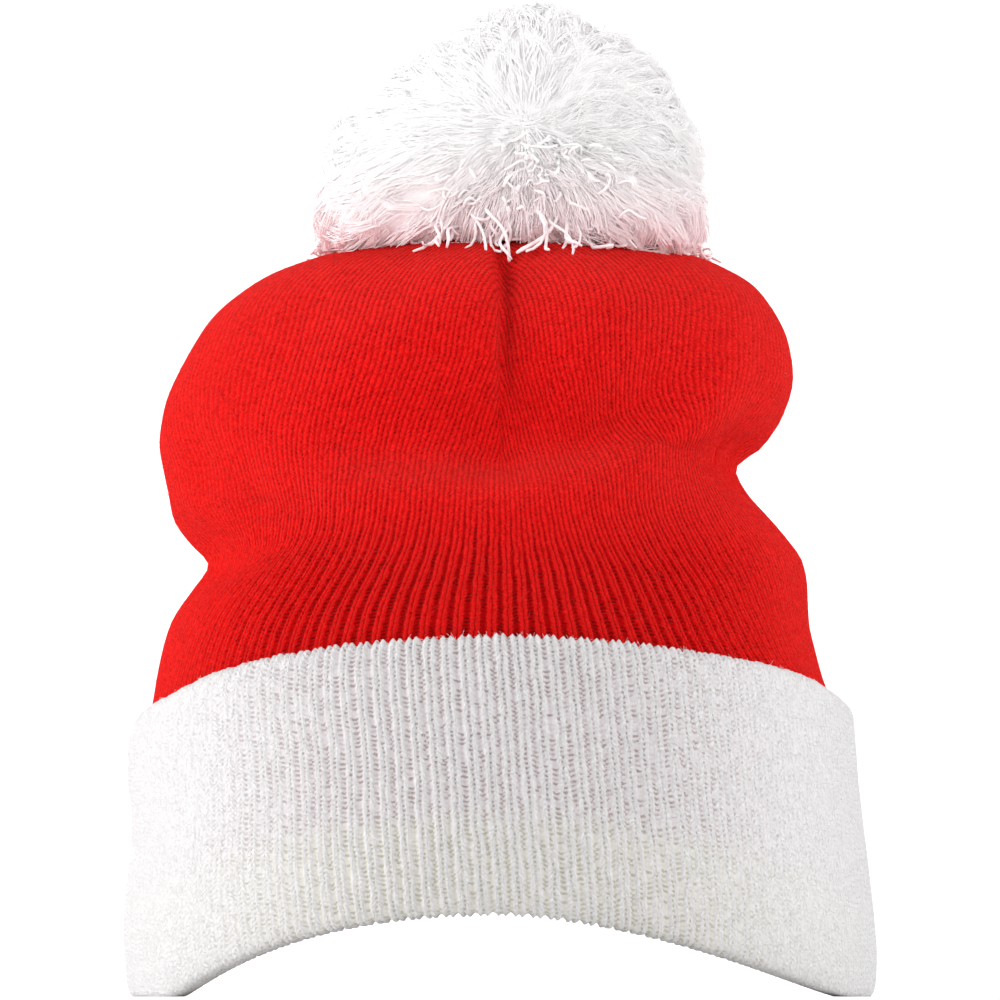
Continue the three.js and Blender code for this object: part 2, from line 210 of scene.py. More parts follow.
def wander(r, path, seed):
    """Fine unevenness of the wales, about -1..1, over rib repeats and a length in mm."""
    g = np.random.default_rng(seed)
    out = np.zeros(np.broadcast(r, path).shape)
    for _ in range(12):
        out += np.sin(2 * np.pi * np.asarray(r) / RIBS * g.integers(20, 115) + path * g.uniform(0.3, 0.95) * g.choice([-1, 1]) + g.uniform(0, 6.28))
    return out / 4.5


def steady_width():
    """By height, how much wider each side would be without its pinch, so that ribs at the front run straight past it."""
    rows = [(z,) + tuple(float(a) - BEHIND_LEAF for a in cuff_sizes(z)) for z in (26.0, 40.0, 60.0, 75.0)] + CROWN_FACE[:-1]
    z = np.arange(26.0, 187.0, 1.0)
    out = []
    for k in (1, 2):
        w = along(rows, z, k)
        pad = np.concatenate([np.full(60, w[0]), w, np.full(60, w[-1])])
        g = np.exp(-np.arange(-50, 51) ** 2 / (2 * 15.0**2))
        even = np.convolve(pad, g / g.sum(), mode="same")[60:-60]
        q = np.clip(even / w, 0.85, 1.15)
        out.append(1 + (q - 1) * smooth(84, 100, z) * smooth(172, 156, z))
    return z, out[0], out[1]


STEADY = steady_width()


def rib_angle(r, z, level=None):
    """Angle of a rib coordinate at a height: the ribs spread or crowd at the front and back."""
    phi = 2 * np.pi * np.asarray(r) / RIBS
    th = phi + along(RIB_SPREAD, z if level is None else level) / 2 * np.sin(2 * phi)
    s, c = np.sin(th), np.cos(th)
    q = np.where(s > 0, np.interp(z, STEADY[0], STEADY[2]), np.interp(z, STEADY[0], STEADY[1]))
    folded = np.arcsin(np.clip(np.abs(s), 0, 1))
    wider = np.arcsin(np.clip(q * np.abs(s), 0, 1))
    shift = (wider - folded) * smooth(75, 30, np.degrees(folded))
    return np.degrees(th + np.sign(s) * np.sign(c) * shift)


# One rib repeat, as columns: where in the repeat, and which part of the stitch.
RIB_COLUMNS = [  # share of the repeat, kind
    (0.0, "gap"), (0.14, "foot"), (0.30, "crest"), (0.42, "inner"),
    (0.58, "inner"), (0.70, "crest"), (0.86, "foot"),
]
PER_RIB = len(RIB_COLUMNS)
COLS = RIBS * PER_RIB
COL_SHARE = np.tile([c[0] for c in RIB_COLUMNS], RIBS)
COL_RIB = np.repeat(np.arange(RIBS), PER_RIB)
COL_KIND = np.tile([("gap", "foot", "crest", "inner").index(c[1]) for c in RIB_COLUMNS], RIBS)


def facing(angle, far, near, least):
    """1 towards the front and back of the hat, less at its sides."""
    to_side = 90 - np.abs(90 - np.abs(between(angle, 0)))
    return least + (1 - least) * smooth(far, near, to_side)


def felted(verts):
    """0 at the front and back of the hat to 1 at its sides, where the knit looks more like felt."""
    return smooth(26, 74, np.degrees(np.arctan2(np.abs(verts[:, 0]), np.abs(verts[:, 1]))))


CROWN_LEGS = (0.30, 0.165, 0.03, 0.30)   # when drawn open: outer foot, crest and inner foot of a leg as shares, depth between legs
CUFF_LEGS = (0.322, 0.195, 0.07, 0.58)


def rib_layout(period, slack, span, zone, legs):
    """For a local repeat length: each column's distance from the middle of its rib and its depth, in mm,
    and how far the knit is drawn open, 0..1, from a slack repeat over a span, where the zone lets it."""
    e = np.clip((period - slack) / span, 0, 1) * zone
    half = np.stack([period / 2] + [(a + (b - a) * e) * period for a, b in zip((0.42, 0.25, 0.09), legs)])
    depth = np.stack([0.13 + 0.94 * e, 0.07 + 0.51 * e, 0.0 * e, 0.11 + (legs[3] - 0.11) * e])
    return half, depth, e


# ---- making meshes -------------------------------------------------------
def make_object(name, verts_mm, faces, uv=None, values=None, rounded=True):
    """faces is a list of index arrays, (n,3) or (n,4); uv is a matching list of corner coordinates."""
    mesh = bpy.data.meshes.new(name)
    v = np.asarray(verts_mm, np.float64) / 1000.0
    sizes = np.concatenate([np.full(len(f), f.shape[1]) for f in faces]).astype(np.int32)
    loops = np.concatenate([np.asarray(f).ravel() for f in faces]).astype(np.int32)
    mesh.vertices.add(len(v))
    mesh.vertices.foreach_set("co", v.ravel())
    mesh.loops.add(len(loops))
    mesh.loops.foreach_set("vertex_index", loops)
    mesh.polygons.add(len(sizes))
    mesh.polygons.foreach_set("loop_start", np.concatenate([[0], np.cumsum(sizes)[:-1]]).astype(np.int32))
    mesh.polygons.foreach_set("loop_total", sizes)
    mesh.polygons.foreach_set("use_smooth", np.full(len(sizes), rounded))
    for key, value in (values or {}).items():
        mesh.attributes.new(key, "FLOAT", "POINT").data.foreach_set("value", np.asarray(value, np.float32))
    if uv is not None:
        layer = mesh.uv_layers.new(name="knit")
        layer.data.foreach_set("uv", np.concatenate([np.asarray(u, np.float32).reshape(-1, 2) for u in uv]).ravel())
    mesh.update(calc_edges=True)
    mesh.validate()
    obj = bpy.data.objects.new(name, mesh)
    bpy.context.scene.collection.objects.link(obj)
    return obj


def compact(verts, faces, value):
    used = np.unique(np.concatenate([f.ravel() for f in faces]))
    remap = np.full(len(verts), -1)
    remap[used] = np.arange(len(used))
    return verts[used], [remap[f] for f in faces], value[used]


def grid_faces(index, u, v):
    """Faces of a grid of vertex indices, closed across its columns; equal neighbours collapse.
    index, u and v are (rows, columns); u of the closing column is one full turn on."""
    turn = RIBS
    i2 = np.concatenate([index, index[:, :1]], axis=1)
    u2 = np.concatenate([u, u[:, :1] + turn], axis=1)
    v2 = np.concatenate([v, v[:, :1]], axis=1)
    q = np.stack([i2[:-1, :-1], i2[:-1, 1:], i2[1:, 1:], i2[1:, :-1]], axis=-1).reshape(-1, 4)
    uvq = np.stack([np.stack([a[:-1, :-1], a[:-1, 1:], a[1:, 1:], a[1:, :-1]], axis=-1).reshape(-1, 4) for a in (u2, v2)], axis=-1)
    same = q == np.roll(q, -1, axis=1)
    count = same.sum(axis=1)
    quads, quad_uv = q[count == 0], uvq[count == 0]
    tris, tri_uv = [], []
    for k in range(4):
        pick = (count == 1) & same[:, k]
        keep = [j for j in range(4) if j != k]
        tris.append(q[pick][:, keep])
        tri_uv.append(uvq[pick][:, keep])
    return [quads, np.concatenate(tris)], [quad_uv, np.concatenate(tri_uv)]


# ---- crown ---------------------------------------------------------------
def crown_profile():
    """Rows of (path length, z, left, right, front, back) from the hem to the eyelet."""
    hidden = []
    for z in (COLOUR_CHANGE + HEM_GAP, 34, 42, 50, 59, 68, 75):
        hidden.append((z,) + tuple(float(a) - BEHIND_LEAF for a in cuff_sizes(z)))
    rows = np.array(hidden + CROWN_FACE, float)
    mean = rows[:, 1:].mean(axis=1)
    s = np.concatenate([[0], np.cumsum(np.hypot(np.diff(rows[:, 0]), np.diff(mean)))])
    return [(float(a),) + tuple(r) for a, r in zip(s, rows)]


PROFILE = crown_profile()
S_END = PROFILE[-1][0]


def crown_field():
    """Position and outward normal of the crown's outer face on a regular grid of angle and path."""
    angle = np.arange(0, 360, 0.5)
    s = np.linspace(0, S_END, 300)
    A, S = np.meshgrid(angle, s)
    z = along(PROFILE, S, 1)
    sizes = [along(PROFILE, S, k) for k in (2, 3, 4, 5)]
    p = place(A, sizes, z)

    def normal(p):
        round_ = np.roll(p, -1, axis=1) - np.roll(p, 1, axis=1)
        up = np.gradient(p, axis=0)
        n = np.cross(round_, up)
        return n / np.maximum(np.linalg.norm(n, axis=-1, keepdims=True), 1e-9)

    push = crown_push(A, z)
    push += 0.45 * ripple(A, S, 5) * smooth(78, 100, z) * smooth(186, 176, z)
    p = p + normal(p) * push[..., None]
    return angle, s, p, normal(p), z


FIELD = crown_field()


def on_crown(angle, s):
    """Smooth lookup in the crown's field."""
    ang, ss, p, n, z = FIELD
    a = (angle % 360) / 0.5
    i0 = np.floor(a).astype(int)
    fa = (a - i0)[..., None]
    i0 %= len(ang)
    i1 = (i0 + 1) % len(ang)
    b = np.clip(s / S_END * (len(ss) - 1), 0, len(ss) - 1.001)
    j0 = np.floor(b).astype(int)
    fb = (b - j0)[..., None]
    j1 = j0 + 1

    def mix(f):
        return (f[j0, i0] * (1 - fa) + f[j0, i1] * fa) * (1 - fb) + (f[j1, i0] * (1 - fa) + f[j1, i1] * fa) * fb

    nn = mix(n)
    return mix(p), nn / np.maximum(np.linalg.norm(nn, axis=-1, keepdims=True), 1e-9)


def s_at(z):
    rows = np.array([(r[1], r[0]) for r in PROFILE if r[1] <= 186.7 and r[0] < S_END - 5])
    return float(np.interp(z, rows[:, 0], rows[:, 1]))


def crown_grid(s_rows, relief, depth_into=0.0):
    """Grid of crown points for path rows: ribs follow the wales, and the darts cut them off."""
    s = np.asarray(s_rows)[:, None]
    z = along(PROFILE, s, 1)
    mean = np.mean([along(PROFILE, s, k) for k in (2, 3, 4, 5)], axis=0)
    s_dart = s_at(DART_FROM)
    ref = float(np.mean([along(PROFILE, s_dart, k) for k in (2, 3, 4, 5)]))
    keep = np.where(s > s_dart, np.clip(mean / ref, 0.03, 1.0) ** 0.9 * (1 - DART_LOSS * (np.clip(z, DART_FROM, FAN_TO) - DART_FROM)), 1.0)
    keep = np.minimum.accumulate(keep, axis=0)

    quarter = RIBS // 4
    gore = (COL_RIB // quarter)[None, :]
    # repeat length at the front of each rib, for its layout
    period = np.zeros((len(s_rows), RIBS))
    zone = np.zeros((len(s_rows), RIBS))
    centre = np.arange(RIBS) + 0.5
    for row, (sv, zv, kv) in enumerate(zip(s[:, 0], z[:, 0], keep[:, 0])):
        top = sv > s_at(FAN_TO)
        a0 = rib_angle(centre - 0.5, np.full(RIBS, min(zv, FAN_TO) if not top else FAN_TO))
        a1 = rib_angle(centre + 0.5, np.full(RIBS, min(zv, FAN_TO) if not top else FAN_TO))
        zone[row] = facing((a0 + a1) / 2, 66, 28, 0.06)
        level = min(sv, s_at(FAN_TO))
        p0, _ = on_crown(a0, np.full(RIBS, level))
        p1, _ = on_crown(a1, np.full(RIBS, level))
        period[row] = np.linalg.norm(p1 - p0, axis=-1) / (1 - DART_LOSS * (np.clip(zv if not top else FAN_TO, DART_FROM, FAN_TO) - DART_FROM))
    period = np.clip(period, 1.6, 6.0)
    half, depth, stretch = rib_layout(period, 2.2, 1.3, zone * smooth(125, 97, z), CROWN_LEGS)
    kind = COL_KIND
    sign = np.where(COL_SHARE < 0.5, -1.0, 1.0)
    offset = sign * half[kind, :, COL_RIB].T
    col_depth = depth[kind, :, COL_RIB].T
    r = COL_RIB + 0.5 + offset / period[:, COL_RIB]
    r = np.where(kind == 0, COL_RIB, r)
    stray = 0.05 * ripple(360.0 * r / RIBS, s * np.ones_like(r), 11) + 0.045 * wander(r, s * np.ones_like(r), 12)
    r = np.where(s < s_dart, r + stray * smooth(75, 95, z), r + stray * keep)
    local = (r - (gore * quarter + quarter / 2)) / (quarter / 2)
    cut = (np.abs(local) >= keep - 1e-6) & (keep < 1)
    local = np.clip(local / keep, -1, 1)
    phi_r = gore * quarter + quarter / 2 + local * quarter / 2
    seam_col = np.where(local < 0, gore, (gore + 1) % 4) * quarter * PER_RIB
    angle = rib_angle(phi_r, z * np.ones_like(r), np.minimum(z, FAN_TO) * np.ones_like(r))
    p, n = on_crown(angle, s * np.ones_like(r))
    # close to a dart the ribs sink into the seam
    seam_mm = (1 - np.abs(local)) * mean * np.pi / 4
    sink = np.where(s > s_dart, smooth(2.4, 0.0, seam_mm) * smooth(s_dart, s_dart + 12, s), 0)
    d = col_depth * (1 - sink) + 0.9 * sink
    d = d * smooth(S_END + 1, S_END - 14, s) if relief else np.zeros_like(d)
    p = p - n * ((d - PROUD) * relief + depth_into)[..., None]
    index = np.arange(len(s_rows) * COLS).reshape(len(s_rows), COLS)
    index = np.where(cut, (np.arange(len(s_rows)) * COLS)[:, None] + seam_col, index)
    u = COL_RIB + COL_SHARE
    return p, index, np.broadcast_to(u, index.shape).astype(float), np.broadcast_to(s / COURSE, index.shape), stretch[:, COL_RIB]


def make_crown():
    s_top = s_at(72)
    s_dart = s_at(DART_FROM)
    outer_rows = np.concatenate([
        np.linspace(0, s_top, 5)[:-1],
        np.arange(s_top, s_at(DART_FROM) - 1.0, 2.1),
        np.linspace(s_dart, S_END, int((S_END - s_dart) / 2.15) + 1),
    ])
    s_low, s_high = s_at(97), s_at(164)
    inner_rows = np.concatenate([np.linspace(0, s_low, 5)[:-1], np.linspace(s_low, s_high, 11)[:-1], np.linspace(s_high, S_END, 6)])[::-1]
    p1, i1, u1, v1, o1 = crown_grid(outer_rows, 1.0)
    p2, i2, u2, v2, o2 = crown_grid(inner_rows[::-1], 0.0, CROWN_WALL)
    p2, i2, u2, v2 = p2[::-1], i2, u2, v2[::-1]
    n1 = len(outer_rows) * COLS
    flip = i2 // COLS, i2 % COLS
    i2 = ((len(inner_rows) - 1 - flip[0]) * COLS + flip[1])[::-1] + n1
    verts = np.concatenate([p1.reshape(-1, 3), p2.reshape(-1, 3)])
    index = np.concatenate([i1, i2, i1[:1]])
    u = np.concatenate([u1, u2, u1[:1]])
    v = np.concatenate([v1, v2, v1[:1]])
    faces, uv = grid_faces(index, u, v)
    opened = np.concatenate([o1.ravel(), o2[::-1].ravel()])
    verts, faces, opened = compact(verts, faces, opened)
    return make_object("crown_knit", verts, faces, uv, {"open": opened, "felt": felted(verts)})


# ---- cuff ----------------------------------------------------------------
def cuff_section():
    """Round the U of the cuff: (height, inset, relief, path) from the hidden face of the visible
    leaf over its top edge, down its face, under the fold and up the inner leaf."""
    near = (CUFF_DEPTH - 3.3) / 2
    pts = [(30.0, LEAF_OUTER, 0), (50.0, LEAF_OUTER, 0), (68.0, LEAF_OUTER, 0)]
    for k in range(1, 6):  # rounded top edge
        t = np.pi * k / 6
        pts.append((CUFF_TOP - 1.8 + 1.8 * math.sin(t), LEAF_OUTER / 2 + LEAF_OUTER / 2 * math.cos(t), 0.35 + 0.65 * k / 6))
    for h in np.linspace(CUFF_TOP - 1.9, 6.0, 36):
        pts.append((h, 0.0, 1))
    for k in range(1, 5):  # outer half of the fold
        t = np.pi / 2 * k / 5
        pts.append((5.0 - 5.0 * math.sin(t), near * (1 - math.cos(t)), 1))
    pts += [(0.0, near, 1), (0.0, CUFF_DEPTH / 2, 1), (0.0, CUFF_DEPTH - near, 1)]
    for k in range(4, 0, -1):
        t = np.pi / 2 * k / 5
        pts.append((5.0 - 5.0 * math.sin(t), CUFF_DEPTH - near * (1 - math.cos(t)), 1))
    for h in np.linspace(6.0, COLOUR_CHANGE - 0.6, 8):
        pts.append((h, CUFF_DEPTH, 1))
    pts += [(COLOUR_CHANGE, CUFF_DEPTH - 0.7, 0.3), (COLOUR_CHANGE, BEHIND_LEAF + 0.5, 0),
            (COLOUR_CHANGE - 0.6, BEHIND_LEAF, 0), (15.0, BEHIND_LEAF, 0), (5.6, BEHIND_LEAF, 0),
            (5.0, BEHIND_LEAF - LEAF_GAP / 2, 0), (5.6, LEAF_OUTER, 0), (15.0, LEAF_OUTER, 0)]
    pts = np.array(pts, float)
    step = np.hypot(np.diff(pts[:, 0]), np.diff(pts[:, 1]))
    path = np.concatenate([[0], np.cumsum(step)])
    return np.concatenate([pts, path[:, None]], axis=1)


def make_cuff():
    sec = cuff_section()
    h, inset, relief, path = [sec[:, k][:, None] for k in range(4)]
    centre = np.arange(RIBS) + 0.5
    period = np.zeros((len(sec), RIBS))
    for row in range(len(sec)):
        hv = float(h[row, 0])
        size = cuff_sizes(hv)
        p0 = place(rib_angle(centre - 0.5, np.full(RIBS, hv)), size, np.full(RIBS, hv))
        p1 = place(rib_angle(centre + 0.5, np.full(RIBS, hv)), size, np.full(RIBS, hv))
        period[row] = np.linalg.norm(p1 - p0, axis=-1)
    half, depth, stretch = rib_layout(np.clip(period, 1.6, 6.0), 2.4, 1.7, facing(rib_angle(centre, np.full(RIBS, 40.0)), 60, 20, 0.22)[None, :], CUFF_LEGS)
    sign = np.where(COL_SHARE < 0.5, -1.0, 1.0)
    offset = sign * half[COL_KIND, :, COL_RIB].T
    col_depth = depth[COL_KIND, :, COL_RIB].T
    r = COL_RIB + 0.5 + offset / period[:, COL_RIB]
    r = np.where(COL_KIND == 0, COL_RIB, r)
    r = r + 0.07 * ripple(360.0 * r / RIBS, path * np.ones_like(r), 31) + 0.036 * wander(r, path * np.ones_like(r), 32)
    hh = h * np.ones_like(r)
    angle = rib_angle(r + CUFF_LEAN * (0.55 - hh / CUFF_TOP), hh)
    p = place(angle, cuff_sizes(hh), hh, inset)
    round_ = np.roll(p, -1, axis=1) - np.roll(p, 1, axis=1)
    up = np.roll(p, -1, axis=0) - np.roll(p, 1, axis=0)
    n = -np.cross(round_, up)
    n /= np.maximum(np.linalg.norm(n, axis=-1, keepdims=True), 1e-9)
    uneven = 0.35 * ripple(angle, hh, 41) * smooth(4, 16, hh) * (inset < 1.0)
    p = p - n * ((col_depth - PROUD) * relief - uneven)[..., None]
    # the top edge rises over each leg of the stitches and dips between the ribs
    top = smooth(CUFF_TOP - 3.2, CUFF_TOP - 0.2, hh) * (inset < LEAF_OUTER - 0.1)
    dip = np.array([-0.36, 0.04, 0.16, -0.10])[COL_KIND][None, :]
    p[..., 2] += top * (dip + 0.18 * ripple(angle * 3.0, hh, 51) + 0.16 * wander(r, path * np.ones_like(r), 52))
    p[..., 2] = np.maximum(p[..., 2], 0.0)
    index = np.arange(p.shape[0] * COLS).reshape(p.shape[0], COLS)
    u = np.broadcast_to((COL_RIB + COL_SHARE).astype(float), index.shape)
    v = np.broadcast_to(path / CUFF_COURSE, index.shape)
    index = np.concatenate([index, index[:1]])[::-1]
    u = np.concatenate([u, u[:1]])
    v = np.concatenate([v, v[:1] + (path[-1, 0] + 15) / CUFF_COURSE])[::-1]
    faces, uv = grid_faces(index, u, v)
    return make_object("cuff_knit", p.reshape(-1, 3), faces, uv, {"open": stretch[:, COL_RIB].ravel(), "felt": felted(p.reshape(-1, 3))})


# ---- pompom --------------------------------------------------------------
POM_CENTRE = np.array([3.5, 0.0, 204.0])
POM_DEEP = 48.0
POM_OUTLINE = [  # angle up from the right, half size: rounded tufts with notches between them
    (-17, 48.8), (-11, 49.4), (-4, 46.8), (1, 45.9), (7, 48.2), (13, 48.5), (19, 47.8), (26, 46.9), (32, 48.2),
    (39, 48.2), (49, 47.0), (64, 45.4), (80, 46.4), (93, 44.6), (106, 42.2), (118, 40.4), (130, 41.8), (135, 43.2),
    (140, 40.0), (146, 42.4), (153, 45.2), (161, 48.4), (168, 49.0), (180, 49.4), (190, 51.0), (196, 51.2),
    (203, 50.0), (212, 42.0), (226, 32.0), (246, 26.0), (270, 24.5), (294, 26.0), (314, 32.0), (328, 42.0), (337, 48.0),
    (343, 48.8),
]


def to_pompom_face(d):
    """Distance from the pompom's middle to its outer form in each direction."""
    up = np.degrees(np.arctan2(d[..., 2], d[..., 0]))
    up = np.where(up < -17, up + 360, up)
    r = along(POM_OUTLINE, up)
    flat = np.hypot(d[..., 0], d[..., 2])
    power = 2.0 + 3.0 * smooth(0.15, -0.55, d[..., 2])
    return ((flat / r) ** power + (np.abs(d[..., 1]) / POM_DEEP) ** power) ** (-1 / power)


def tubes(paths, radius, sides):
    """Joined closed tubes: paths is (tubes, rings, 3), radius (tubes, rings)."""
    t, rings, _ = paths.shape
    tangent = np.gradient(paths, axis=1)
    tangent /= np.maximum(np.linalg.norm(tangent, axis=-1, keepdims=True), 1e-9)
    ref = np.where(np.abs(tangent[:, :1, 2:]) > 0.8, [[[1.0, 0, 0]]], [[[0, 0, 1.0]]])
    side = np.cross(tangent, np.broadcast_to(ref, tangent.shape))
    side /= np.maximum(np.linalg.norm(side, axis=-1, keepdims=True), 1e-9)
    other = np.cross(tangent, side)
    a = np.arange(sides) * 2 * np.pi / sides
    ring = (np.cos(a)[None, None, :, None] * side[:, :, None, :] + np.sin(a)[None, None, :, None] * other[:, :, None, :])
    v = paths[:, :, None, :] + ring * radius[:, :, None, None]
    base = (np.arange(t) * rings * sides)[:, None, None, None]
    k = (np.arange(rings - 1) * sides)[None, :, None]
    j = np.arange(sides)[None, None, :]
    jn = (j + 1) % sides
    q = np.stack([k + j, k + jn, k + sides + jn, k + sides + j], axis=-1)
    q = (base + q).reshape(-1, 4)
    along_ = np.broadcast_to(np.concatenate([np.zeros((t, 1)), np.cumsum(np.linalg.norm(np.diff(paths, axis=1), axis=-1), axis=1)], axis=1)[:, :, None], (t, rings, sides))
    ju = np.broadcast_to(j / sides, (t, rings - 1, sides))
    jv = along_[:, :-1], along_[:, 1:]
    uvq = np.stack([np.stack([ju, ju + 1 / sides, ju + 1 / sides, ju], axis=-1),
                    np.stack([jv[0], jv[0], jv[1], jv[1]], axis=-1)], axis=-1).reshape(-1, 4, 2)
    caps, caps_uv = [], []
    first = np.arange(t) * rings * sides
    last = first + (rings - 1) * sides
    order = np.arange(sides)
    caps.append(first[:, None] + order[::-1][None, :])
    caps.append(last[:, None] + order[None, :])
    for c in caps:
        caps_uv.append(np.zeros((len(c), sides, 2)))
    return v.reshape(-1, 3), [q] + caps, [uvq] + caps_uv


def lobes(d, seed, size=5.0):
    """Soft unevenness in about -1..1 over directions."""
    r = np.random.default_rng(seed)
    out = np.zeros(d.shape[:-1])
    for _ in range(14):
        k = r.normal(0, 1, 3)
        k *= size * r.uniform(0.5, 1.3) / np.linalg.norm(k)
        out += np.cos(d @ k + r.uniform(0, 6.28))
    return out / 4.5


def around_parting(psi, az, side):
    """Directions by their angle from the parting (side -1 the front one, 1 the back one) and round it."""
    one = np.ones_like(psi)
    pole = np.stack([0.06 * one, side * one, 0.17 * one], axis=-1)
    pole /= np.linalg.norm(pole, axis=-1, keepdims=True)
    across = np.stack([one, 0 * one, 0 * one], axis=-1)
    across = across - pole * np.sum(across * pole, axis=-1, keepdims=True)
    across /= np.linalg.norm(across, axis=-1, keepdims=True)
    upward = np.cross(pole, across) * np.where(side < 0, -1.0, 1.0)[..., None]
    upward *= np.sign(upward[..., 2:])
    return (pole * np.cos(psi)[..., None] + across * (np.sin(psi) * np.cos(az))[..., None]
            + upward * (np.sin(psi) * np.sin(az))[..., None])


def pompom_share(d):
    """How far the cut ends reach, as a share of the pompom's form."""
    return 0.995 + 0.016 * lobes(d, 3, 6.0) + 0.010 * lobes(d, 4, 15.0)


def crown_floor(x, y):
    """Height of the crown's top under a place, for yarn that lies on it."""
    rows = [CROWN_FACE[k] for k in (18, 17, 16, 15, 14, 13, 12, 11)]
    z = np.full(np.shape(x), 187.0)
    before = None
    for row in rows:
        wide = np.where(x > 0, row[2], row[1])
        deep = np.where(y < 0, row[3], row[4])
        e = np.hypot(x / wide, y / deep)
        if before is not None:
            e0, z0 = before
            t = np.clip((e0 - 1) / np.maximum(e0 - e, 1e-6), 0, 1)
            z = np.where(e0 >= 1, z0 + (row[0] - z0) * t, z)
        before = e, row[0]
    return z


def bundle_paths(count, seed, rings, kind):
    """Middle lines of the bundles of cut yarn. Rim ones sweep out to the pompom's outline, cover ones are short
    and lie close together all over it, skirt ones lie low over the crown and crest ones cross the parting."""
    r = np.random.default_rng(seed)
    side = np.where(np.arange(count) % 2 == 0, -1.0, 1.0)
    az = (np.arange(count) * 2.399963) % (2 * np.pi) + r.normal(0, 0.06, count)
    if kind == "rim":
        psi = np.radians(60 + 32 * np.sqrt(r.random(count)))
        start, deep = psi - np.radians(r.uniform(26, 46, count)), r.uniform(0.88, 0.93, count)
        share = np.minimum(1.0 / np.sin(psi), 1.075) * r.uniform(0.985, 1.012, count)
    elif kind in ("cover", "even"):
        psi = np.arccos(1 - 1.18 * (np.arange(count) // 2 + r.random(count)) / (count / 2))
        start = psi - np.radians(r.uniform(10, 24, count)) * np.clip(psi / 0.6, 0.3, 1)
        deep, share = r.uniform(0.925, 0.95, count), r.uniform(0.972, 1.0, count)
    elif kind == "skirt":
        psi = np.radians(r.uniform(30, 100, count))
        az = np.radians(-90 + r.uniform(-82, 82, count))
        start, deep = psi * r.uniform(0.40, 0.70, count), r.uniform(0.92, 0.95, count)
        share = r.uniform(0.985, 1.01, count)
    else:
        psi = np.radians(r.uniform(4, 22, count))
        start, deep = -np.radians(r.uniform(6, 26, count)), r.uniform(0.90, 0.93, count)
        share = r.uniform(0.95, 0.985, count)
    bend = r.normal(0, 0.14, count)
    if kind != "even":
        az = az + 0.16 * lobes(np.stack([np.cos(az), side, np.sin(az)], axis=-1), 17, 4.0)
    d = around_parting(psi, az + bend, side)
    tip = POM_CENTRE + d * (to_pompom_face(d) * share * pompom_share(d))[:, None]
    d0 = around_parting(start, az, side)
    root = POM_CENTRE + d0 * (to_pompom_face(d0) * deep)[:, None]
    dm = around_parting(0.55 * psi + 0.45 * start, az + 0.3 * bend, side)
    middle = POM_CENTRE + dm * (to_pompom_face(dm) * (0.4 * deep + 0.6 * np.minimum(share, 0.985) + 0.012))[:, None]
    ctrl = 2 * middle - 0.5 * (root + tip)
    t = np.linspace(0, 1, rings)[None, :, None]
    path = (1 - t) ** 2 * root[:, None] + 2 * t * (1 - t) * ctrl[:, None] + t**2 * tip[:, None]
    if kind in ("cover", "even"):
        rel = path - POM_CENTRE
        far = np.linalg.norm(rel, axis=-1)
        way = rel / far[..., None]
        least = to_pompom_face(way) * pompom_share(way) * (0.964 + 0.016 * t[..., 0])
        path = POM_CENTRE + way * np.where(t[..., 0] > 0.3, np.maximum(far, least), far)[..., None]
    if kind == "skirt":
        path[..., 2] -= r.uniform(0.5, 3.5, count)[:, None] * t[..., 0] ** 2
    return path


def frames(path):
    tangent = np.gradient(path, axis=1)
    tangent /= np.maximum(np.linalg.norm(tangent, axis=-1, keepdims=True), 1e-9)
    ref = np.where(np.abs(tangent[:, :1, 1:2]) > 0.85, [[[1.0, 0, 0]]], [[[0, 1.0, 0]]])
    one = np.cross(tangent, np.broadcast_to(ref, tangent.shape))
    one /= np.maximum(np.linalg.norm(one, axis=-1, keepdims=True), 1e-9)
    return tangent, one, np.cross(tangent, one)


def strands(bundles, per, seed, rings, thick, spread, kind):
    """Fine strands in bundles: close together at the root, fanned out to a rounded tuft at the tip."""
    r = np.random.default_rng(seed + 500)
    path = np.repeat(bundle_paths(bundles, seed, rings, kind), per, axis=0)
    n = len(path)
    _, one, two = frames(path)
    turn = r.uniform(0, 2 * np.pi, n)
    off = np.sqrt(r.random(n)) * spread
    t = np.linspace(0, 1, rings)[None, :]
    fan = (0.6 + 0.4 * t**1.2) * off[:, None]
    curl = r.normal(0, 0.5, (n, 1)) * np.sin(np.pi * t * r.uniform(1.0, 2.4, (n, 1)) + r.uniform(0, 6.28, (n, 1)))
    path = (path + one * (fan * np.cos(turn)[:, None] + curl)[..., None]
            + two * (fan * np.sin(turn)[:, None] * 0.28 + 0.35 * curl[:, ::-1])[..., None])
    # a tuft's outer strands are a little shorter, so its end is rounded
    end = 1.0 - 0.10 * (off / spread) ** 2 - np.abs(r.normal(0, 0.03, n))
    at = np.linspace(0, 1, rings)[None, :] * end[:, None] * (rings - 1)
    i = np.clip(np.floor(at).astype(int), 0, rings - 2)
    f = (at - i)[..., None]
    row = np.arange(n)[:, None]
    path = path[row, i] * (1 - f) + path[row, i + 1] * f
    path[..., 2] = np.maximum(path[..., 2], crown_floor(path[..., 0], path[..., 1]) + 0.9 + thick)
    rad = thick * r.uniform(0.75, 1.25, (n, 1)) * (0.95 + 0.15 * t)
    rad[:, -1] *= 0.5
    return path, rad, np.repeat(r.random(bundles), per) * 0.6 + r.random(n) * 0.4


def strand_object(name, groups, sides):
    verts, faces, uv, tone, start = [], [], [], [], 0
    for path, rad, shade in groups:
        v, f, c = tubes(path, rad, sides)
        verts.append(v)
        faces += [a + start for a in f]
        uv += c
        tone.append(np.repeat(shade, path.shape[1] * sides))
        start += len(v)
    quads = [k for k, a in enumerate(faces) if a.shape[1] == 4]
    rest = [k for k, a in enumerate(faces) if a.shape[1] != 4]
    return make_object(name, np.concatenate(verts), [faces[k] for k in quads + rest], [uv[k] for k in quads + rest],
                       {"tone": np.concatenate(tone)}, sides > 3)


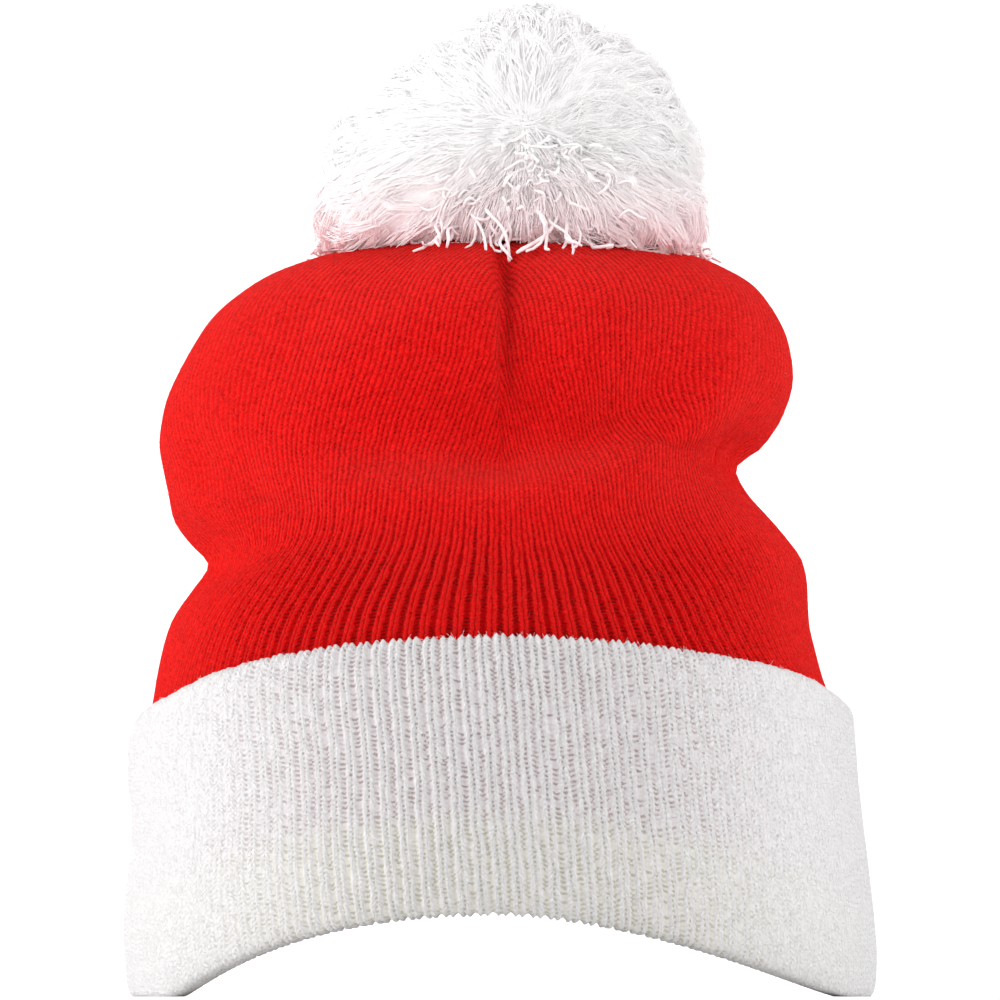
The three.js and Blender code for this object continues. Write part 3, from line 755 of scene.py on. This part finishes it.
def bezier(points, rings):
    t = np.linspace(0, 1, rings)[None, :, None]
    a, b, c, d = [p[:, None, :] for p in points]
    return (1 - t) ** 3 * a + 3 * t * (1 - t) ** 2 * b + 3 * t * t * (1 - t) * c + t**3 * d


def yarn_ends(seed):
    """Thicker twisted ends of yarn: hanging over the edge of the crown, mostly at the front, lying along that edge,
    and curling out of the lower front of the pompom."""
    r = np.random.default_rng(seed)
    rings = 13
    # hanging ends
    angle = np.concatenate([r.uniform(-19, 27, 52), r.uniform(-75, 70, 24), r.uniform(90, 270, 36)])
    n = len(angle)
    low = np.where(np.arange(n) < 52, r.uniform(178.5, 186.0, n), r.uniform(182.5, 185.5, n))
    swing = r.normal(0, 6.5, n)
    out = np.stack([np.sin(np.radians(angle)), -np.cos(np.radians(angle)), 0 * angle], axis=-1)
    p0 = np.array([2.0, 0, 193.5]) + out * (39 + r.uniform(-3, 3, n))[:, None]
    p1 = np.array([2.0, 0, 193.0]) + out * (46 + r.uniform(-2, 3, n))[:, None]
    p1[:, 2] += r.uniform(-1.0, 4.0, n)
    s_mid = np.array([s_at(min(186.2, z + 3.0)) for z in low])
    s_low = np.array([s_at(z) for z in low])
    q, m = on_crown(angle + 0.5 * swing, s_mid)
    p2 = q + m * r.uniform(2.0, 3.6, n)[:, None]
    q, m = on_crown(angle + swing, s_low)
    p3 = q + m * r.uniform(1.3, 2.4, n)[:, None]
    hang = bezier((p0, p1, p2, p3), rings)
    # ends that lie along the crown's edge
    k = 46
    angle = r.uniform(-70, 75, k)
    turn = r.choice([-1, 1], k) * r.uniform(5, 13, k)
    lie = []
    for f, up in ((0, 3.2), (0.35, 2.6), (0.7, 1.9), (1.0, 1.7)):
        q, m = on_crown(angle + turn * f, np.array([s_at(z) for z in r.uniform(183.0, 186.0, k)]))
        lie.append(q + m * (up + r.uniform(-0.4, 0.8, k))[:, None])
    lie = bezier(lie, rings)
    # curls in the lower front
    c = 72
    x = 3.5 + r.uniform(-14, 23, c)
    z = r.uniform(191.0, 210.0, c)
    front = np.where(np.arange(c) < 50, -1.0, 1.0)
    curls = []
    for f, share in ((0.0, 0.93), (0.4, 0.985), (0.8, 0.998), (1.2, 0.985)):
        x = x + r.normal(0, 2.6, c) * f
        z = z + r.normal(-0.6, 2.2, c) * f
        d = np.stack([x - POM_CENTRE[0], front * 40.0, z - POM_CENTRE[2]], axis=-1)
        d /= np.linalg.norm(d, axis=-1, keepdims=True)
        curls.append(POM_CENTRE + d * (to_pompom_face(d) * (share + r.uniform(-0.01, 0.012, c)))[:, None])
    curls = bezier(curls, rings)
    path = np.concatenate([hang, lie, curls])
    _, one, two = frames(path)
    t = np.linspace(0, 1, rings)[None, :]
    size = len(path)
    tight, begin, swell = r.uniform(6, 13, (size, 1)), r.uniform(0, 6.28, (size, 1)), r.uniform(0.8, 2.0, (size, 1)) * r.choice([-1, 1], (size, 1))
    for axis, phase in ((one, 0.0), (two, 1.57)):
        path = path + axis * (swell * np.sin(t * tight + begin + phase) * np.sqrt(t))[..., None]
    path[..., 2] = np.maximum(path[..., 2], np.where(path[..., 2] > 186.5, crown_floor(path[..., 0], path[..., 1]) + 1.2, 0))
    rad = np.concatenate([r.uniform(0.34, 0.50, (n, 1)), r.uniform(0.28, 0.42, (k, 1)), r.uniform(0.30, 0.46, (c, 1))])
    rad = rad * (1.0 + 0.10 * np.sin(t * 9 + r.uniform(0, 6, (size, 1))))
    rad[:, -1] *= 0.7
    return path, rad, r.random(size) * 0.5


def make_pompom():
    cover = [[strands(780, 12, seed, 4, 0.12, 2.7, kind)] for seed, kind in ((71, "cover"), (72, "even"))]
    other = [strands(110, 20, 83, 5, 0.14, 3.2, "rim"), strands(100, 18, 81, 5, 0.13, 3.0, "skirt"), strands(36, 16, 82, 5, 0.14, 3.4, "crest")]
    pieces = [strand_object("pompom_yarn", cover[0], 3), strand_object("pompom_yarn_b", cover[1], 3),
              strand_object("pompom_yarn_c", other, 3), strand_object("pompom_ends", [yarn_ends(75)], 6)]
    # packed middle of the pompom, close under the strands
    n_a, n_b = 72, 34
    b = np.linspace(0.04, np.pi - 0.04, n_b)[:, None]
    a = (np.arange(n_a) * 2 * np.pi / n_a)[None, :]
    d = np.stack([np.sin(b) * np.sin(a), np.sin(b) * -np.cos(a), np.cos(b) * np.ones_like(a)], axis=-1).reshape(-1, 3)
    p = POM_CENTRE + d * (to_pompom_face(d) * (0.946 - 0.010 * smooth(0.3, -0.1, d[..., 2]) + 0.004 * lobes(d, 9, 9.0)) * pompom_share(d))[:, None]
    p[:, 2] = np.maximum(p[:, 2], crown_floor(p[:, 0], p[:, 1]) + 0.9)
    idx = np.arange(n_a * n_b).reshape(n_b, n_a)
    nxt = np.roll(idx, -1, axis=1)
    q = np.stack([idx[:-1], idx[1:], nxt[1:], nxt[:-1]], axis=-1).reshape(-1, 4)
    caps = [idx[:1].copy(), idx[-1:, ::-1].copy()]
    q_uv = np.zeros((len(q), 4, 2))
    caps_uv = [np.zeros((1, n_a, 2)) for _ in caps]
    pieces.append(make_object("pompom_core", p, [q] + caps, [q_uv] + caps_uv, {"tone": np.full(len(p), 0.3)}))
    return pieces


# ---- loose fibres --------------------------------------------------------
def fibres(p, n, up, seed, lengths, lift):
    """Fine loose fibres that leave a knit face at points p with normals n, bent along it."""
    r = np.random.default_rng(seed)
    k = len(p)
    side = np.cross(n, up)
    side /= np.maximum(np.linalg.norm(side, axis=-1, keepdims=True), 1e-9)
    over = np.cross(side, n)
    a = r.uniform(0, 2 * np.pi, k)
    along_face = side * np.cos(a)[:, None] + over * np.sin(a)[:, None]
    turn = side * np.cos(a + 1.57)[:, None] + over * np.sin(a + 1.57)[:, None]
    size = r.uniform(lengths[0], lengths[1], k)
    rise = r.uniform(lift[0], lift[1], k)
    t = np.linspace(0, 1, 3)[None, :, None]
    bend = r.normal(0, 0.35, k)
    path = (p[:, None] - 0.4 * n[:, None] + along_face[:, None] * size[:, None, None] * t
            + turn[:, None] * (size * bend)[:, None, None] * t**2 + n[:, None] * (rise * size + 0.4)[:, None, None] * (1.6 * t - 0.6 * t**2))
    return path, r.uniform(0.035, 0.05, (k, 1)) * (1.1 - 0.5 * t[..., 0]), r.random(k)


def crown_fibres():
    r = np.random.default_rng(91)
    k = 2600
    angle = r.uniform(0, 360, k)
    s = r.uniform(s_at(82), S_END - 42, k)
    p, n = on_crown(angle, s)
    up = np.broadcast_to([0.0, 0.0, 1.0], p.shape)
    return strand_object("crown_fibres", [fibres(p, n, up, 92, (1.2, 3.4), (0.10, 0.55))], 3)


def cuff_fibres():
    r = np.random.default_rng(93)
    groups = []
    for k, low, high, lengths, lift in ((1700, 4.0, 74.2, (1.2, 3.2), (0.10, 0.55)), (1300, 73.8, 75.3, (0.7, 2.0), (0.10, 0.5))):
        angle = r.uniform(0, 360, k)
        h = r.uniform(low, high, k)
        size = cuff_sizes(h)
        p = place(angle, size, h, np.where(h > 74.2, 1.2, 0.0))
        wide = np.where(np.sin(np.radians(angle)) > 0, size[1], size[0])
        deep = np.where(np.cos(np.radians(angle)) > 0, size[2], size[3])
        n = np.stack([p[:, 0] / wide**2, p[:, 1] / deep**2, 0 * h], axis=-1)
        n /= np.linalg.norm(n, axis=-1, keepdims=True)
        if low > 50:
            n = n * 0.6 + np.array([0, 0, 0.8])
        p[:, 2] += np.where(h > 74.2, -0.3, 0.0)
        groups.append(fibres(p, n, np.broadcast_to([0.0, 0.0, 1.0], p.shape) + 0.3 * r.normal(0, 1, p.shape), 94 + k, lengths, lift))
    return strand_object("cuff_fibres", groups, 3)


# ---- materials -----------------------------------------------------------
class Nodes:
    """A short way to write a node tree."""

    def __init__(self, name):
        self.mat = bpy.data.materials.new(name)
        self.mat.use_nodes = True
        self.tree = self.mat.node_tree
        self.bsdf = self.tree.nodes["Principled BSDF"]

    def add(self, kind, **inputs):
        node = self.tree.nodes.new(kind)
        for key, value in inputs.items():
            setattr(node, key, value)
        return node

    def link(self, a, b):
        self.tree.links.new(a, b)

    def math(self, op, a, b=None, c=None, clamp=False):
        node = self.add("ShaderNodeMath", operation=op, use_clamp=clamp)
        for k, value in enumerate((a, b, c)):
            if value is None:
                continue
            if isinstance(value, (int, float)):
                node.inputs[k].default_value = value
            else:
                self.link(value, node.inputs[k])
        return node.outputs[0]

    def ramp(self, value, lo, hi, out_lo=0.0, out_hi=1.0):
        node = self.add("ShaderNodeMapRange", interpolation_type="SMOOTHSTEP")
        self.link(value, node.inputs[0])
        for k, v in zip((1, 2, 3, 4), (lo, hi, out_lo, out_hi)):
            node.inputs[k].default_value = v
        return node.outputs[0]

    def mix(self, factor, a, b):
        node = self.add("ShaderNodeMix", data_type="RGBA")
        for socket, value in ((node.inputs[0], factor), (node.inputs[6], a), (node.inputs[7], b)):
            if isinstance(value, (int, float)):
                socket.default_value = value
            elif isinstance(value, tuple):
                socket.default_value = value + (1.0,)
            else:
                self.link(value, socket)
        return node.outputs[2]

    def noise(self, scale, detail=2.0, rough=0.55, vector=None):
        node = self.add("ShaderNodeTexNoise")
        node.inputs["Scale"].default_value = scale
        node.inputs["Detail"].default_value = detail
        node.inputs["Roughness"].default_value = rough
        if vector is None:
            coord = self.add("ShaderNodeTexCoord")
            vector = coord.outputs["Object"]
        self.link(vector, node.inputs["Vector"])
        return node.outputs["Fac"]


def knit_material(name, light, dark, cell_shade, hole_shade, low_cell_shade, low_hole_shade, sheen, sheen_weight, groove_share, slack_hole_shade, slack_gap_shade, speckle, plush):
    n = Nodes(name)
    uvmap = n.add("ShaderNodeUVMap", uv_map="knit")
    sep = n.add("ShaderNodeSeparateXYZ")
    n.link(uvmap.outputs[0], sep.inputs[0])
    u, v = sep.outputs[0], sep.outputs[1]
    opened = n.add("ShaderNodeAttribute", attribute_name="open").outputs["Fac"]
    felt = n.add("ShaderNodeAttribute", attribute_name="felt").outputs["Fac"]
    plain_share = n.math("SUBTRACT", 1.0, n.math("MULTIPLY", felt, 0.70))
    drift = n.math("SUBTRACT", n.noise(260.0, 1.0, 0.5), 0.5)
    jig = n.math("SUBTRACT", n.noise(950.0, 2.0, 0.6), 0.5)
    fibre = n.noise(3400.0, 2.0, 0.6)
    tone = n.noise(110.0, 3.0, 0.6)

    def random(x, y):
        pair = n.add("ShaderNodeCombineXYZ")
        n.link(x, pair.inputs[0])
        n.link(y, pair.inputs[1])
        node = n.add("ShaderNodeTexWhiteNoise", noise_dimensions="2D")
        n.link(pair.outputs[0], node.inputs["Vector"])
        return node.outputs["Value"]

    def from_middle(x):
        return n.math("ABSOLUTE", n.math("SUBTRACT", n.math("FRACT", x), 0.5))

    # stitches are not quite even: their rows and legs waver
    uu = n.math("ADD", u, n.math("ADD", n.math("MULTIPLY", drift, 0.16), n.math("MULTIPLY", jig, n.math("ADD", n.math("ADD", 0.24, n.math("MULTIPLY", opened, 0.12)), n.math("MULTIPLY", felt, 0.40)))))
    a = from_middle(uu)
    leg = n.math("FLOOR", n.math("MULTIPLY", uu, 2.0))
    own = n.add("ShaderNodeTexWhiteNoise", noise_dimensions="1D")
    n.link(n.math("FLOOR", uu), own.inputs["W"])
    vv = n.math("ADD", n.math("ADD", v, own.outputs["Value"]), n.math("MULTIPLY", n.math("SUBTRACT", n.noise(330.0, 2.0, 0.5), 0.5), 1.1))
    # legs of the stitches: strands that rise outward from the middle of each rib
    q = n.math("SUBTRACT", vv, n.math("MULTIPLY", a, n.math("ADD", 1.5, n.math("MULTIPLY", opened, 2.7))))
    each = random(leg, n.math("FLOOR", q))
    lane = n.add("ShaderNodeCombineXYZ")
    n.link(n.math("MULTIPLY", q, 4.0), lane.inputs[0])
    n.link(n.math("MULTIPLY", a, 5.0), lane.inputs[1])
    n.link(n.math("MULTIPLY", leg, 3.7), lane.inputs[2])
    streak = n.noise(1.0, 2.0, 0.6, lane.outputs[0])
    crease = n.ramp(from_middle(q), 0.20, 0.5)
    place_in = n.add("ShaderNodeCombineXYZ")
    n.link(n.math("MULTIPLY", a, 3.0), place_in.inputs[0])
    n.link(n.math("MULTIPLY", q, 0.95), place_in.inputs[1])
    n.link(n.math("MULTIPLY", leg, 7.3), place_in.inputs[2])
    grain = n.noise(1.0, 2.0, 0.6, place_in.outputs[0])
    slack = n.math("SUBTRACT", 1.0, opened)
    off = n.math("DIVIDE", n.math("SUBTRACT", a, 0.215), 0.155)
    crest = n.math("SUBTRACT", 1.0, n.math("MULTIPLY", off, off), clamp=True)
    # between them: loops that arch over a small hole at every row
    gap, groove = n.ramp(a, 0.29, 0.39), n.ramp(a, 0.14, 0.06)
    xg = n.math("DIVIDE", n.math("SUBTRACT", 0.5, a), 0.19)
    xv = n.math("DIVIDE", a, 0.11)
    vg = n.math("ADD", vv, n.math("MULTIPLY", n.math("MULTIPLY", xg, xg), 0.32))
    vr = n.math("ADD", n.math("ADD", vv, 0.5), n.math("MULTIPLY", n.math("MULTIPLY", xv, xv), 0.26))
    seat = n.math("FLOOR", n.math("ADD", n.math("MULTIPLY", uu, 2.0), 0.5))
    luck = random(seat, n.math("FLOOR", n.math("ADD", vv, 0.13)))
    hole_g = n.math("MULTIPLY", n.math("MULTIPLY", n.ramp(from_middle(vg), 0.34, 0.10), n.ramp(xg, 1.0, 0.25)), gap)
    hole_v = n.math("MULTIPLY", n.math("MULTIPLY", n.ramp(from_middle(vr), 0.34, 0.10), n.ramp(xv, 1.0, 0.25)), groove)
    hollow = n.math("MULTIPLY", n.math("MAXIMUM", hole_g, hole_v), n.ramp(n.math("ADD", luck, n.math("MULTIPLY", opened, 0.3)), 0.15, 0.95))
    between = n.math("MAXIMUM", gap, n.math("MULTIPLY", groove, n.math("ADD", groove_share, n.math("MULTIPLY", slack, 1.0 - groove_share))))
    strand = n.math("MULTIPLY", crest, n.math("SUBTRACT", 1.0, n.math("MULTIPLY", crease, 0.6)))
    loops = n.math("MULTIPLY", between, n.math("MULTIPLY", n.math("SUBTRACT", 1.0, hollow), 0.40))
    height = n.math("ADD", strand, loops)
    height = n.math("ADD", height, n.math("ADD", n.math("MULTIPLY", fibre, 0.30), n.math("MULTIPLY", jig, 0.5)))
    height = n.math("ADD", height, n.math("ADD", n.math("MULTIPLY", each, 0.30), n.math("MULTIPLY", streak, 0.45)))
    height = n.math("ADD", height, n.math("MULTIPLY", n.math("MULTIPLY", grain, slack), 0.8))
    height = n.math("MULTIPLY", height, n.math("SUBTRACT", 1.0, n.math("MULTIPLY", felt, plush)))
    b = n.add("ShaderNodeBump")
    b.inputs["Strength"].default_value = 0.85
    b.inputs["Distance"].default_value = 0.0006
    n.link(height, b.inputs["Height"])
    n.link(b.outputs[0], n.bsdf.inputs["Normal"])
    # colour: light strands with painted shade on their flanks and in the creases, darker loops between them and dark
    # holes as painted shade in these recesses, deeper where the knit is drawn open
    # lower down the cuff the painted shade of cells and holes turns cream, as the white inner leaf lies behind them
    # there instead of the red crown
    if low_cell_shade is not None:
        lower = n.ramp(v, 70.0, 77.0)
        cell_shade, hole_shade = n.mix(lower, cell_shade, low_cell_shade), n.mix(lower, hole_shade, low_hole_shade)
    # painted highlight and shade: a leg is lightest on its crest and darker off it and in the creases between rows,
    # where a round strand turns from the light; a random part per stitch is its own tone
    leg_shade_and_tone = n.math("ADD", n.math("MULTIPLY", crease, n.math("ADD", 0.22, n.math("MULTIPLY", opened, 0.18))), n.math("MULTIPLY", n.math("SUBTRACT", 1.0, crest), 0.45))
    leg_shade_and_tone = n.math("ADD", leg_shade_and_tone, n.math("MULTIPLY", n.math("SUBTRACT", each, 0.5), 0.30), clamp=True)
    leg_shade_and_tone = n.math("MULTIPLY", leg_shade_and_tone, n.math("ADD", 0.65, n.math("MULTIPLY", opened, 0.35)))
    # how dark the loops between the legs are painted: painted shade in that recess, deeper where the knit is drawn open
    deep = n.math("ADD", n.ramp(grain, 0.64, 0.38, slack_gap_shade[0], slack_gap_shade[1]), n.math("MULTIPLY", opened, 0.70), clamp=True)
    col = n.mix(leg_shade_and_tone, light, dark)
    col = n.mix(n.ramp(streak, 0.45, 0.75, 0.0, 0.35), col, dark)
    # uneven grain of the relaxed knit, with darker specks as painted shade in the little gaps where the legs meet
    col = n.mix(n.math("MULTIPLY", n.ramp(grain, 0.60, 0.40), n.math("ADD", 0.30, n.math("MULTIPLY", slack, 0.15))), col, dark)
    col = n.mix(n.math("MULTIPLY", n.ramp(grain, 0.44, 0.32), n.math("MULTIPLY", slack, 0.35)), col, cell_shade)
    # painted shade in the recess between the legs
    col = n.mix(n.math("MULTIPLY", n.math("MULTIPLY", between, deep), plain_share), col, cell_shade)
    # painted shade in the holes, in the cuff tinted by the layer behind them
    col = n.mix(n.math("MULTIPLY", n.math("MULTIPLY", hollow, plain_share), n.math("ADD", slack_hole_shade, n.math("MULTIPLY", opened, 1.0 - slack_hole_shade))), col, hole_shade)
    col = n.mix(n.math("MULTIPLY", n.ramp(n.noise(1250.0, 3.0, 0.65), 0.50, 0.68), n.math("MULTIPLY", felt, speckle)), col, dark)
    col = n.mix(n.ramp(tone, 0.35, 0.75, 0.0, 0.12), col, dark)
    col = n.mix(n.ramp(fibre, 0.5, 0.8, 0.0, 0.30), col, light)
    n.link(col, n.bsdf.inputs["Base Color"])
    n.bsdf.inputs["Roughness"].default_value = 0.9
    n.bsdf.inputs["Specular IOR Level"].default_value = 0.02
    n.bsdf.inputs["Sheen Weight"].default_value = sheen_weight
    n.bsdf.inputs["Sheen Roughness"].default_value = 0.5
    n.bsdf.inputs["Sheen Tint"].default_value = sheen + (1.0,)
    return n.mat


def yarn_material(name, light, dark, low=None, sheen=0.3):
    n = Nodes(name)
    fibre = n.noise(2400.0, 2.0, 0.6)
    tone = n.noise(160.0, 2.0, 0.5)
    each = n.add("ShaderNodeAttribute", attribute_name="tone").outputs["Fac"]
    uvmap = n.add("ShaderNodeUVMap", uv_map="knit")
    sep = n.add("ShaderNodeSeparateXYZ")
    n.link(uvmap.outputs[0], sep.inputs[0])
    ply = n.math("FRACT", n.math("ADD", n.math("MULTIPLY", sep.outputs[0], 2.0), n.math("MULTIPLY", sep.outputs[1], 0.5)))
    twist = n.ramp(n.math("ABSOLUTE", n.math("SUBTRACT", ply, 0.5)), 0.28, 0.5)
    height = n.math("SUBTRACT", n.math("MULTIPLY", fibre, 0.6), n.math("MULTIPLY", twist, 0.5))
    # mix towards the dark colour: random tone per strand and over the yarn, and a little painted shade in the grooves
    # between the plies
    shade = n.math("ADD", n.math("MULTIPLY", each, 0.5), n.math("ADD", n.ramp(tone, 0.3, 0.8, 0.0, 0.35), n.math("MULTIPLY", twist, 0.15)), clamp=True)
    b = n.add("ShaderNodeBump")
    b.inputs["Strength"].default_value = 0.28
    b.inputs["Distance"].default_value = 0.0003
    n.link(height, b.inputs["Height"])
    n.link(b.outputs[0], n.bsdf.inputs["Normal"])
    col = n.mix(shade, light, dark)
    # painted reflected light: the yarn turns pink towards the pompom's bottom, where light thrown up from the red crown
    # falls
    if low is not None:
        where = n.add("ShaderNodeTexCoord").outputs["Object"]
        z = n.add("ShaderNodeSeparateXYZ")
        n.link(where, z.inputs[0])
        col = n.mix(n.ramp(z.outputs[2], 0.210, 0.183), col, low)
    n.link(col, n.bsdf.inputs["Base Color"])
    n.bsdf.inputs["Roughness"].default_value = 0.85
    n.bsdf.inputs["Specular IOR Level"].default_value = 0.1
    n.bsdf.inputs["Sheen Weight"].default_value = sheen
    n.bsdf.inputs["Sheen Roughness"].default_value = 0.5
    return n.mat


# the cell and hole colours are painted shade for the recesses between the legs and for the holes; the white knit's are
# tinted mauve by the red crown behind and, low down, cream by its inner leaf
RED_KNIT = knit_material("red_knit", (0.93, 0.012, 0.011), (0.66, 0.003, 0.003), (0.48, 0.001, 0.002), (0.16, 0.0, 0.001), None, None, (1.0, 0.17, 0.14), 0.24, 0.6, 0.78, (0.45, 0.88), 0.75, 0.0)
WHITE_KNIT = knit_material("white_knit", (0.88, 0.872, 0.876), (0.81, 0.793, 0.798), (0.73, 0.685, 0.70), (0.42, 0.33, 0.32), (0.76, 0.74, 0.68), (0.52, 0.50, 0.42), (1.0, 1.0, 1.0), 0.10, 1.0, 0.10, (0.06, 0.30), 0.75, 0.0)
# its third colour is painted pink reflected light from the red crown, at the bottom of the pompom
YARN = yarn_material("pompom_yarn", (0.965, 0.958, 0.962), (0.935, 0.922, 0.920), (0.968, 0.888, 0.90))
RED_FIBRE = yarn_material("red_fibre", (0.86, 0.05, 0.04), (0.60, 0.012, 0.012), None, 0.03)
WHITE_FIBRE = yarn_material("white_fibre", (0.92, 0.91, 0.91), (0.80, 0.78, 0.78))

# ---- assemble ------------------------------------------------------------
crown = make_crown()
crown.data.materials.append(RED_KNIT)
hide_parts("crown", "crown_band")
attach(crown, "root")

cuff = make_cuff()
cuff.data.materials.append(WHITE_KNIT)
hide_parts("cuff")
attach(cuff, "root")

for part, finish, slot in ((crown_fibres(), RED_FIBRE, "red_knit"), (cuff_fibres(), WHITE_FIBRE, "white_knit")):
    part.data.materials.append(finish)
    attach(part, "root")

pom = make_pompom()
for part in pom:
    part.data.materials.append(YARN)
    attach(part, "root")
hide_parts("pompom")

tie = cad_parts["pompom_tie"]
tie.data.materials.clear()
tie.data.materials.append(yarn_material("tie_yarn", (0.90, 0.88, 0.87), (0.74, 0.70, 0.69)))

# ---- stage, light and camera ---------------------------------------------
def plain(name, colour, rough=0.9):
    m = bpy.data.materials.new(name)
    m.use_nodes = True
    p = m.node_tree.nodes["Principled BSDF"]
    p.inputs["Base Color"].default_value = colour + (1.0,)
    p.inputs["Roughness"].default_value = rough
    p.inputs["Specular IOR Level"].default_value = 0.1
    return m


def sweep():
    """A pale floor that curves up into a backdrop behind the hat."""
    prof = [(-3.0, 0.0), (1.4, 0.0)]
    for k in range(1, 9):
        t = math.pi / 2 * k / 8
        prof.append((1.4 + 0.8 * math.sin(t), 0.8 - 0.8 * math.cos(t)))
    prof.append((2.2, 3.2))
    v = np.array([(x, y, z) for y, z in prof for x in (-3.5, 3.5)]) * 1000.0
    q = np.array([[2 * k, 2 * k + 1, 2 * k + 3, 2 * k + 2] for k in range(len(prof) - 1)])
    o = make_object("sweep", v, [q])
    o.data.materials.append(plain("paper", (0.92, 0.92, 0.92)))


sweep()


def area(name, place_at, aim, size, watts, colour=(1, 1, 1)):
    light = bpy.data.lights.new(name, "AREA")
    light.shape = "RECTANGLE"
    light.size, light.size_y = size
    light.energy = watts
    light.color = colour
    o = bpy.data.objects.new(name, light)
    o.location = place_at
    from mathutils import Vector
    o.rotation_euler = (Vector(aim) - Vector(place_at)).to_track_quat("-Z", "Y").to_euler()
    bpy.context.scene.collection.objects.link(o)
    return o


area("key", (-1.6, -0.45, 0.80), (0, 0, 0.12), (1.1, 1.2), 21.5)
area("fill", (1.5, -0.52, 1.02), (0, 0, 0.12), (1.1, 1.2), 16.8)
area("front", (-0.3, -1.75, 0.34), (0, 0, 0.11), (1.2, 0.7), 8.0)
area("wall", (0.0, 0.7, 1.9), (0.0, 2.2, 0.5), (3.0, 0.8), 46.0)

world = bpy.data.worlds.new("studio")
world.use_nodes = True
world.node_tree.nodes["Background"].inputs[0].default_value = (1.0, 1.0, 1.0, 1.0)
world.node_tree.nodes["Background"].inputs[1].default_value = 0.37
bpy.context.scene.world = world

cam = bpy.data.cameras.new("camera")
cam.lens = 201.0
cam.sensor_width = 36.0
cam.sensor_fit = "HORIZONTAL"
cam.clip_start = 0.05
camera = bpy.data.objects.new("camera", cam)
camera.location = (0.0, -1.4, 0.0002)
pitch = math.atan2(0.1245 - 0.0002, 1.4)
camera.rotation_euler = (math.pi / 2 + pitch, 0.0, 0.0)
bpy.context.scene.collection.objects.link(camera)
bpy.context.scene.camera = camera
bpy.context.scene.cycles.diffuse_bounces = 10  # light passes on between white strands
bpy.context.scene.view_settings.view_transform = "Standard"
bpy.context.scene.view_settings.look = "None"
